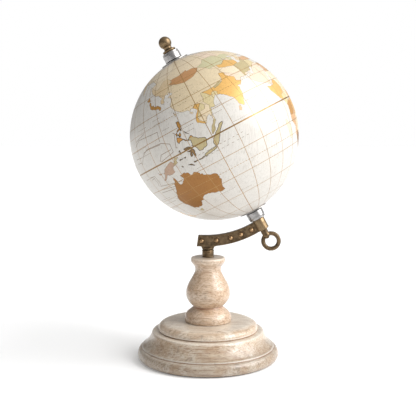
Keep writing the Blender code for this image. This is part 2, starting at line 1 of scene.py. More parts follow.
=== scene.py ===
"""Looks for a desktop globe: a turned limed-wood stand, an antique brass arm and a printed ball.

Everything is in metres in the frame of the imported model, and outlines are in millimetres. The arm lies
in the XZ plane and the ball's axis leans towards -X at its north end. The map is printed mirrored, with
east on the left, and some of its inks are metallic.
"""

import math
import random

import bmesh
import bpy
import numpy as np
from mathutils import Matrix, Vector
from mathutils.geometry import delaunay_2d_cdt


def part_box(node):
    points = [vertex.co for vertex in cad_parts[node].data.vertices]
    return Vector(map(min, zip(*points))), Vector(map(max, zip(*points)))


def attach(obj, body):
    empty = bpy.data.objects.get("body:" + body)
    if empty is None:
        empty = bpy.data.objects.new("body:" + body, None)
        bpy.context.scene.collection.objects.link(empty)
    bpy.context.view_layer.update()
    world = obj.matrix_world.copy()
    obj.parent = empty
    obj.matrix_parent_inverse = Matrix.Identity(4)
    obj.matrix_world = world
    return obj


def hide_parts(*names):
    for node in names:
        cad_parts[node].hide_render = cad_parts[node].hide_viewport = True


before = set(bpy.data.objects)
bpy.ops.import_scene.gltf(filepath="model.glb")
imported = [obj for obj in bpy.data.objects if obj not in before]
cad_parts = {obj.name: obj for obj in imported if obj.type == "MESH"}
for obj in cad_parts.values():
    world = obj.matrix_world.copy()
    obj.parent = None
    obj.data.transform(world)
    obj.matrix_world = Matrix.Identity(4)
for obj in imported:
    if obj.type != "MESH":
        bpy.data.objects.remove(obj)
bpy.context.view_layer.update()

MM = 0.001

# ---------------------------------------------------------------- camera and light

CAMERA_DISTANCE = 0.700  # from the stand's axis, along the ground
CAMERA_HEIGHT = 0.215
CAMERA_AZIMUTH = math.radians(3.0)
CAMERA_PITCH = math.radians(6.3)
CAMERA_LENS = 67.5
SENSOR_WIDTH = 36.0
SKY_LEFT, SKY_RIGHT, SKY_TOP = 0.17, 0.54, 0.36  # brightness at each side, and added overhead
SKY_SIDES, SKY_RISE = (-0.9, 0.9), (0.1, 0.95)  # how far sideways and upwards the changes run
KEY_FROM, KEY_STRENGTH, KEY_ANGLE = (0.84, -0.16, 0.60), 3.0, math.radians(54)
SOFTBOX_FROM, SOFTBOX_STRENGTH, SOFTBOX_DISTANCE = (0.76, -0.46, 0.46), 1.4, 0.9
SOFTBOX_WIDTH, SOFTBOX_HEIGHT = 0.15, 0.3
LAMP_TARGET = (0.0, 0.0, 0.15)
FLOOR_SIZE, FLOOR_SHADE, FLOOR_GLOW = 12.0, 0.84, 0.18

# ---------------------------------------------------------------- shapes, in millimetres

# The base's side, as (radius, height), from its flat top down to its underside
BASE_SIDE = [
    (30.0, 33.9), (36.0, 33.9), (40.2, 33.4), (43.5, 31.8), (45.2, 29.5), (45.3, 27.3), (45.1, 26.9),
    (44.7, 26.6), (44.7, 26.3), (45.4, 26.1), (48.0, 26.1), (50.1, 25.7), (51.2, 24.3), (52.0, 21.8),
    (53.3, 19.0), (55.4, 16.2), (57.9, 13.6), (59.5, 12.6), (60.2, 11.8), (60.4, 11.0), (61.2, 10.7),
    (62.4, 9.9), (63.6, 8.0), (64.2, 5.0), (64.0, 3.2), (62.9, 1.3),
]
BASE_TOP, BASE_UNDERSIDE = 33.9, 1.3
SOCKET_RADIUS, SOCKET_FLOOR = 8.3, 21.9
COUNTERBORE_RADIUS, COUNTERBORE_TOP = 11.0, 11.3
STAND_BORE = 2.9

SPINDLE_SIDE = [
    (14.0, 93.0), (15.2, 92.5), (15.6, 91.0), (15.3, 88.8), (13.9, 86.9), (12.5, 85.1), (11.8, 83.2),
    (11.8, 80.4), (13.4, 76.7), (15.4, 73.0), (17.5, 69.3), (19.4, 64.7), (20.0, 59.1), (19.2, 55.4),
    (17.0, 51.6), (14.0, 48.6), (13.3, 47.8), (14.9, 46.0), (18.7, 42.9), (20.7, 40.0), (21.4, 36.8),
    (21.0, 34.2),
]
TENON_RADIUS, SPINDLE_FOOT, TENON_END, SPINDLE_TOP = 8.0, 34.2, 22.2, 93.0

FERRULE_TOP, FERRULE_BOTTOM = 99.9, 93.3
FERRULE_SIDE = [
    (4.6, 99.9), (5.1, 99.7), (5.4, 99.3), (5.5, 98.8), (5.4, 98.3), (5.15, 98.0), (5.1, 97.8),
    (5.3, 97.5), (5.3, 96.6), (5.25, 95.4), (5.3, 94.3), (5.45, 93.8), (5.45, 93.5), (5.3, 93.3),
]
WASHER_RADIUS, WASHER_FLAT_RADIUS, WASHER_ROUNDING = 4.9, 4.7, 0.12

ARM_RADIUS = 87.1
ARM_HALF_DEPTH = 4.9
ARM_HALF_THICKNESS = 3.4
ARM_RISE = 7.2  # centre line above the flange's underside
ARM_CURVE_START = -2.0
ARM_HEEL = 8.0
ARM_HEEL_SLANT = 1.3
ARM_END_GAP = 2.8  # how far short of the ball's axis the bar ends
ARM_BORE, ARM_BORE_DEPTH = 2.6, 8.5
BOSS_ANGLE = math.radians(34.6)
FLANGE_RADIUS, FLANGE_HEIGHT = 5.5, 0.9
NECK_FILLET = 1.2
PANEL_MARGIN, PANEL_DEPTH, PANEL_END_GAP = 1.25, 0.22, 6.6
RIVET_STATIONS = (-3.6, 9.8, 23.0, 32.7, 43.2)  # along the arm's centre line
RIVET_RECESS_RADIUS, RIVET_RECESS_DEPTH = 2.75, 0.3
RIVET_RADIUS, RIVET_RISE, RIVET_SHANK, RIVET_HOLE = 1.9, 1.3, 1.2, 1.3
RIVET_GAP = 0.06  # under a rivet's head
RIVET_DRILL_REACH = 8.0  # past both faces of the arm

GLOBE_RADIUS = 75.0
AXIS_TILT = math.radians(28.0)
MAP_THICKNESS = 0.3
POLE_HOLE_RADIUS = 4.7

# On the ball's axis, as heights from the ball's centre
AXLE_BORE = 2.1
BOSS_RADIUS, BOSS_LOW, BOSS_HIGH, BOSS_ROUNDING = 5.6, -94.7, -83.9, 0.55
BOSS_SEAT_RADIUS, BOSS_SEAT_LOW, BOSS_SEAT_HIGH = 5.9, -100.0, -79.0  # the room for it in the arm
COLLAR_LOW, SOUTH_COLLAR_HIGH, NORTH_COLLAR_HIGH = 76.1, 83.6, 83.7
COLLAR_RADIUS, COLLAR_STEP, COLLAR_STEP_END, COLLAR_SHOULDER = 7.75, 0.35, 1.7, 2.1
COLLAR_TOP_ROUNDING, COLLAR_SHOULDER_ROUNDING, COLLAR_FOOT_ROUNDING = 0.3, 0.25, 0.4
DISC_BORE, DISC_RADIUS, DISC_OUTSIDE, DISC_INSIDE = 2.3, 12.7, 75.9, 75.3
FINIAL_BASE, FINIAL_BORE_DEPTH = 84.0, 8.5
FINIAL_BALL_RADIUS, FINIAL_BALL_RISE = 5.65, 9.0
FINIAL_SIDE = [  # under its ball, as heights from its base
    (3.62, 4.2), (3.55, 3.6), (3.7, 3.0), (4.2, 2.55), (4.9, 2.3), (5.4, 2.15), (5.8, 1.85), (6.0, 1.4),
    (6.0, 0.9), (5.75, 0.6), (5.6, 0.45), (5.45, 0.1), (5.1, 0.0),
]
EYE_TOP, EYE_BORE_DEPTH = -95.0, 4.6
EYE_SIDE = [  # as heights from its top, down to its coned end
    (3.0, 0.0), (3.2, -0.4), (3.15, -2.4), (3.1, -4.0), (3.4, -5.0), (3.6, -5.5), (3.1, -6.5),
    (1.9, -8.0), (1.0, -8.8),
]
RING_RADIUS, RING_WIRE_RADIUS = 7.0, 1.9
RING_OFFSET, RING_HEIGHT = 1.2, -107.225  # the ring's centre, beside the axis and along it

TURNED_SHARP, CAST_SHARP = 40.0, 50.0  # edges that turn by more degrees than this stay sharp
CURVE_STEPS = 3  # between two points of an outline
LEAST_BEND_REACH = 0.25  # shorter edges count as this long when a bend is measured

# ---------------------------------------------------------------- the map's print, in degrees

GRATICULE = 15.0  # between thin lines
TROPIC = 23.44
BOLD_MERIDIAN = 105.0
THIN_REACH, EQUATOR_REACH, MERIDIAN_REACH, TROPIC_REACH = 0.16, 0.42, 0.2, 0.15  # half widths
DASH_LENGTH, DASH_PRINTED = 1.1, 0.72

MAP_TURN = 106.7  # local azimuth, from -Y towards +X, of longitude 0; it falls as longitude rises
MAP_START = -25.0  # the map's seam
MAP_EDGE = math.degrees(math.acos(POLE_HOLE_RADIUS / GLOBE_RADIUS))
MAP_STEP = 3.0  # the longest step between points of the map
LEAST_SHRINK = 0.1  # of a degree of longitude, near the poles
RIPPLE, RIPPLE_STEP, MOST_RIPPLES = 0.28, 1.1, 4

# Widths of printed lines, in mm
COAST_WIDTH, ISLAND_COAST_WIDTH, BORDER_WIDTH, SEA_LINE_WIDTH, MARK_WIDTH = 0.2, 0.42, 0.16, 0.4, 0.32
STRIP_OVERLAP = 0.8  # how far a line's step runs past its ends, as a share of half its width

# ---------------------------------------------------------------- node helpers


class Graph:
    """A material being built from nodes. add() returns the node; sockets can be given as inputs."""

    def __init__(self, name, roughness=0.5, metallic=0.0):
        self.material = bpy.data.materials.new(name)
        self.material.use_nodes = True
        self.tree = self.material.node_tree
        self.shader = self.tree.nodes["Principled BSDF"]
        self.set(self.shader, {"Roughness": roughness, "Metallic": metallic})

    def fill(self, socket, value):
        if isinstance(value, bpy.types.NodeSocket):
            self.tree.links.new(value, socket)
        else:
            socket.default_value = value

    def set(self, node, inputs):
        for key, value in inputs.items():
            self.fill(node.inputs[key], value)
        return node

    def add(self, kind, inputs=None, **settings):
        node = self.tree.nodes.new(kind)
        for key, value in settings.items():
            setattr(node, key, value)
        return self.set(node, inputs or {})

    def math(self, operation, a, b=0.0, clamp=False):
        node = self.add("ShaderNodeMath", {0: a, 1: b}, operation=operation, use_clamp=clamp)
        return node.outputs[0]

    def below(self, value, limit):
        """1 where the value is under the limit, and 0 elsewhere."""
        return self.math("LESS_THAN", value, limit)

    def place(self, scale=(1.0, 1.0, 1.0), turn=(0.0, 0.0, 0.0)):
        """The piece's own coordinates, turned and scaled."""
        source = self.add("ShaderNodeTexCoord").outputs["Object"]
        inputs = {"Vector": source, "Scale": scale, "Rotation": turn}
        return self.add("ShaderNodeMapping", inputs).outputs["Vector"]

    def parts(self, vector):
        """The X, Y and Z of a vector."""
        return self.add("ShaderNodeSeparateXYZ", {0: vector}).outputs

    def noise(self, vector, scale, detail=4.0, roughness=0.55, distortion=0.0):
        inputs = {"Vector": vector, "Scale": scale, "Detail": detail}
        inputs |= {"Roughness": roughness, "Distortion": distortion}
        return self.add("ShaderNodeTexNoise", inputs).outputs["Fac"]

    def span(self, value, low, high, to_low=0.0, to_high=1.0):
        """Value mapped smoothly from one range to another."""
        inputs = {"Value": value, "From Min": low, "From Max": high}
        inputs |= {"To Min": to_low, "To Max": to_high}
        node = self.add("ShaderNodeMapRange", inputs, interpolation_type="SMOOTHSTEP")
        return node.outputs["Result"]

    def mix(self, factor, a, b, blend="MIX"):
        node = self.add("ShaderNodeMix", {0: factor}, data_type="RGBA", blend_type=blend)
        colours = [socket for socket in node.inputs if socket.type == "RGBA"]
        for socket, value in zip(colours, (a, b)):
            self.fill(socket, value)
        return [socket for socket in node.outputs if socket.type == "RGBA"][0]

    def tint(self, colour, value, low, high, share, ink, blend="MIX"):
        """The colour with an ink laid over it, from none to this share as the value goes low to high."""
        return self.mix(self.span(value, low, high, 0.0, share), colour, ink, blend)

    def attribute(self, name):
        return self.add("ShaderNodeAttribute", attribute_name=name)

    def bump(self, height, distance, strength, under=None):
        inputs = {"Height": height, "Distance": distance, "Strength": strength}
        if under is not None:
            inputs["Normal"] = under
        return self.add("ShaderNodeBump", inputs).outputs["Normal"]

    def finish(self, **inputs):
        names = {"colour": "Base Color", "roughness": "Roughness", "normal": "Normal"}
        names |= {"metallic": "Metallic", "specular": "Specular IOR Level"}
        names |= {"coat": "Coat Weight", "coat_roughness": "Coat Roughness", "sheen": "Sheen Weight"}
        self.set(self.shader, {names[key]: value for key, value in inputs.items()})
        return self.material


def rgb(red, green, blue):
    """A display colour, 0 to 255, as the linear values that a shader takes."""
    def linear(value):
        share = value / 255
        return share / 12.92 if share <= 0.04045 else ((share + 0.055) / 1.055) ** 2.4
    return (linear(red), linear(green), linear(blue), 1.0)


# ---------------------------------------------------------------- materials


def limed_wood(name, tone, low_shade):
    """Pale wood rubbed with white, its fibres along X. From 28 mm down to 12 mm above the floor it turns
    darker, by the given share, as painted shade near the floor. Faces that look up are painted lighter, as
    painted light from above, and the outline's hollows are painted darker brown, as painted shade in the
    grooves."""
    g = Graph(name)
    fibre = g.noise(g.place((0.05, 1.0, 1.0)), 900.0, 5.0, 0.65, 0.2)
    figure = g.noise(g.place((0.16, 1.0, 1.0), (0.1, 0.15, 0.2)), 130.0, 5.0, 0.65, 1.6)
    pore = g.noise(g.place((0.12, 1.0, 1.0), (0.05, 0.0, 0.1)), 1300.0, 3.0, 0.6)
    patch = g.noise(g.place(), 46.0, 4.0, 0.65, 0.8)
    blot = g.noise(g.place((1.0, 1.0, 2.4)), 62.0, 6.0, 0.72, 1.0)
    smudge = g.noise(g.place((1.0, 1.0, 0.3), (0.0, 0.2, 0.0)), 150.0, 4.0, 0.6, 0.4)
    speck = g.noise(g.place(), 1100.0, 4.0, 0.75)
    turning = g.noise(g.attribute("along").outputs["Vector"], 0.42, 6.0, 0.8)
    edge = g.attribute("edge").outputs["Fac"]
    upward = g.parts(g.add("ShaderNodeNewGeometry").outputs["True Normal"])[2]
    height = g.parts(g.place())[2]

    colour = g.mix(g.span(figure, 0.36, 0.62), rgb(222, 202, 178), rgb(202, 174, 146))
    colour = g.tint(colour, turning, 0.48, 0.66, 0.7, rgb(174, 142, 112))
    colour = g.tint(colour, blot, 0.46, 0.70, 0.7, rgb(172, 136, 104))
    wash = g.math("MULTIPLY", g.span(patch, 0.64, 0.36, 0.1, 0.85), g.span(fibre, 0.7, 0.4, 0.35, 1.0))
    colour = g.mix(wash, colour, rgb(238, 230, 218))
    # Painted light from above: faces that look up are made lighter.
    colour = g.tint(colour, upward, 0.85, 1.0, 0.55, rgb(238, 233, 224))
    colour = g.tint(colour, fibre, 0.44, 0.68, 0.6, rgb(150, 118, 90))
    colour = g.tint(colour, smudge, 0.58, 0.72, 0.55, rgb(142, 128, 114))
    colour = g.tint(colour, pore, 0.58, 0.72, 0.8, rgb(116, 84, 60))
    colour = g.tint(colour, speck, 0.54, 0.70, 0.5, rgb(136, 104, 78))
    worn = g.math("MULTIPLY", g.span(edge, 0.08, 0.7), g.span(speck, 0.68, 0.42, 0.5, 0.95))
    colour = g.mix(worn, colour, rgb(250, 246, 240))
    # Painted shade: the outline's hollows turn darker brown, as shade in the grooves.
    colour = g.tint(colour, edge, -0.1, -0.8, 0.55, rgb(160, 112, 78))
    colour = g.mix(1.0, colour, tone, "MULTIPLY")
    # Painted shade: darker from 28 mm down to 12 mm above the floor, by the given share.
    colour = g.tint(colour, height, 0.028, 0.012, low_shade, rgb(150, 146, 142), "MULTIPLY")

    normal = g.bump(turning, 0.00014, 0.55)
    normal = g.bump(fibre, 0.00015, 0.5, normal)
    normal = g.bump(g.span(pore, 0.72, 0.58), 0.0001, 0.6, normal)
    roughness = g.span(patch, 0.3, 0.7, 0.28, 0.40)
    return g.finish(colour=colour, roughness=roughness, normal=normal, specular=0.55, coat=0.5,
                    coat_roughness=0.2)


def aged_brass(name, dark, bright, wear, roughness, patches, lines):
    """Brass with a brown patina. wear is how bright it is rubbed where it stands out, patches is the
    least and most brightness of its clouds, and lines is how strongly its brush marks show."""
    g = Graph(name, metallic=1.0)
    cloud = g.noise(g.place(), 260.0, 5.0, 0.62, 0.4)
    brush = g.noise(g.place((1.0, 1.0, 0.12)), 2600.0, 3.0, 0.6)
    pit = g.noise(g.place(), 1500.0, 4.0, 0.7)
    point = g.add("ShaderNodeNewGeometry").outputs["Pointiness"]
    rubbed = g.span(point, 0.502, 0.56, 0.0, wear)
    share = g.math("ADD", g.span(cloud, 0.35, 0.72, *patches), rubbed, clamp=True)
    colour = g.mix(share, dark, bright)
    colour = g.tint(colour, brush, 0.45, 0.75, lines, dark)
    colour = g.tint(colour, point, 0.498, 0.45, 0.85, rgb(38, 28, 20))
    rough = g.span(cloud, 0.3, 0.7, roughness + 0.12, roughness - 0.05)
    normal = g.bump(pit, 0.00006, 0.5)
    normal = g.bump(brush, 0.00003, 0.4, normal)
    return g.finish(colour=colour, roughness=rough, normal=normal)


def brushed_nickel(name, colour, roughness):
    """Turned nickel with fine lines round it."""
    g = Graph(name, metallic=1.0)
    line = g.noise(g.attribute("along").outputs["Vector"], 9.0, 4.0, 0.7)
    smear = g.noise(g.place(), 300.0, 3.0, 0.6)
    tone = g.mix(g.span(smear, 0.35, 0.7), colour, rgb(144, 142, 140))
    tone = g.tint(tone, line, 0.5, 0.8, 0.35, rgb(120, 116, 112))
    rough = g.span(smear, 0.3, 0.7, roughness, roughness + 0.12)
    return g.finish(colour=tone, roughness=rough, normal=g.bump(line, 0.00004, 0.5))


def plain_steel(name, light, dark):
    g = Graph(name, metallic=1.0)
    cloud = g.noise(g.place(), 400.0, 4.0, 0.6)
    colour = g.mix(g.span(cloud, 0.35, 0.7), light, dark)
    rough = g.span(cloud, 0.3, 0.7, 0.3, 0.48)
    return g.finish(colour=colour, roughness=rough, normal=g.bump(cloud, 0.00005, 0.4))


def felt(name):
    g = Graph(name)
    fuzz = g.noise(g.place(), 3500.0, 4.0, 0.75)
    tuft = g.noise(g.place(), 700.0, 3.0, 0.6)
    colour = g.mix(fuzz, rgb(38, 38, 38), rgb(74, 72, 70))
    colour = g.tint(colour, tuft, 0.4, 0.7, 0.4, rgb(28, 28, 29))
    return g.finish(colour=colour, roughness=0.95, normal=g.bump(fuzz, 0.0002, 0.8), sheen=0.3)


def pressed_board(name):
    g = Graph(name)
    pulp = g.noise(g.place(), 500.0, 5.0, 0.7)
    colour = g.mix(pulp, rgb(150, 124, 96), rgb(184, 160, 130))
    return g.finish(colour=colour, roughness=0.85, normal=g.bump(pulp, 0.0002, 0.5))


def moulded_plastic(name):
    g = Graph(name)
    grain = g.noise(g.place(), 1500.0, 3.0, 0.5)
    colour = g.mix(grain, rgb(226, 225, 219), rgb(214, 212, 205))
    return g.finish(colour=colour, roughness=0.45, normal=g.bump(grain, 0.00003, 0.4))


def printed_paper(name):
    """The map's print. The inks come with the mesh, and their alpha says how metallic each is. The
    graticule is drawn here, from the mesh's longitudes and latitudes."""
    g = Graph(name)
    ink = g.attribute("print")
    lon, lat, _ = g.parts(g.attribute("geo").outputs["Vector"])
    shrink = g.math("COSINE", g.math("RADIANS", lat))
    to_meridian = g.math("MULTIPLY", g.math("PINGPONG", lon, GRATICULE / 2), shrink)
    to_parallel = g.math("PINGPONG", g.math("ADD", lat, 90.0), GRATICULE / 2)
    to_equator = g.math("ABSOLUTE", lat)
    to_tropic = g.math("ABSOLUTE", g.math("SUBTRACT", to_equator, TROPIC))
    to_bold = g.math("MULTIPLY", g.math("ABSOLUTE", g.math("SUBTRACT", lon, BOLD_MERIDIAN)), shrink)
    thin = g.below(g.math("MINIMUM", to_meridian, to_parallel), THIN_REACH)
    equator = g.below(to_equator, EQUATOR_REACH)
    bold = g.math("MAXIMUM", equator, g.below(to_bold, MERIDIAN_REACH))
    dash = g.below(g.math("PINGPONG", lon, DASH_LENGTH), DASH_PRINTED)
    broken = g.math("MULTIPLY", g.below(to_tropic, TROPIC_REACH), dash)
    lines = g.math("MAXIMUM", g.math("MAXIMUM", thin, bold), broken)

    grain = g.noise(g.place(), 2600.0, 3.0, 0.7)
    mottle = g.noise(g.place(), 140.0, 4.0, 0.6)
    streak = g.noise(g.place((1.0, 1.0, 0.08)), 1300.0, 2.0, 0.6)
    foil = g.mix(mottle, rgb(192, 152, 96), rgb(156, 120, 74))
    foil = g.mix(equator, foil, rgb(146, 114, 66))
    colour = g.mix(lines, ink.outputs["Color"], foil)
    colour = g.tint(colour, grain, 0.48, 0.75, 0.34, rgb(120, 104, 88), "MULTIPLY")
    colour = g.tint(colour, streak, 0.48, 0.72, 0.24, rgb(150, 140, 128), "MULTIPLY")
    colour = g.tint(colour, mottle, 0.4, 0.75, 0.1, rgb(190, 170, 140), "MULTIPLY")
    metal = g.math("MAXIMUM", ink.outputs["Alpha"], g.math("MULTIPLY", lines, 0.9))
    rough = g.span(grain, 0.3, 0.7, 0.36, 0.48)
    return g.finish(colour=colour, roughness=rough, metallic=metal, normal=g.bump(grain, 0.00004, 0.35),
                    coat=0.25, coat_roughness=0.25)


# ---------------------------------------------------------------- the map, as (longitude, latitude)

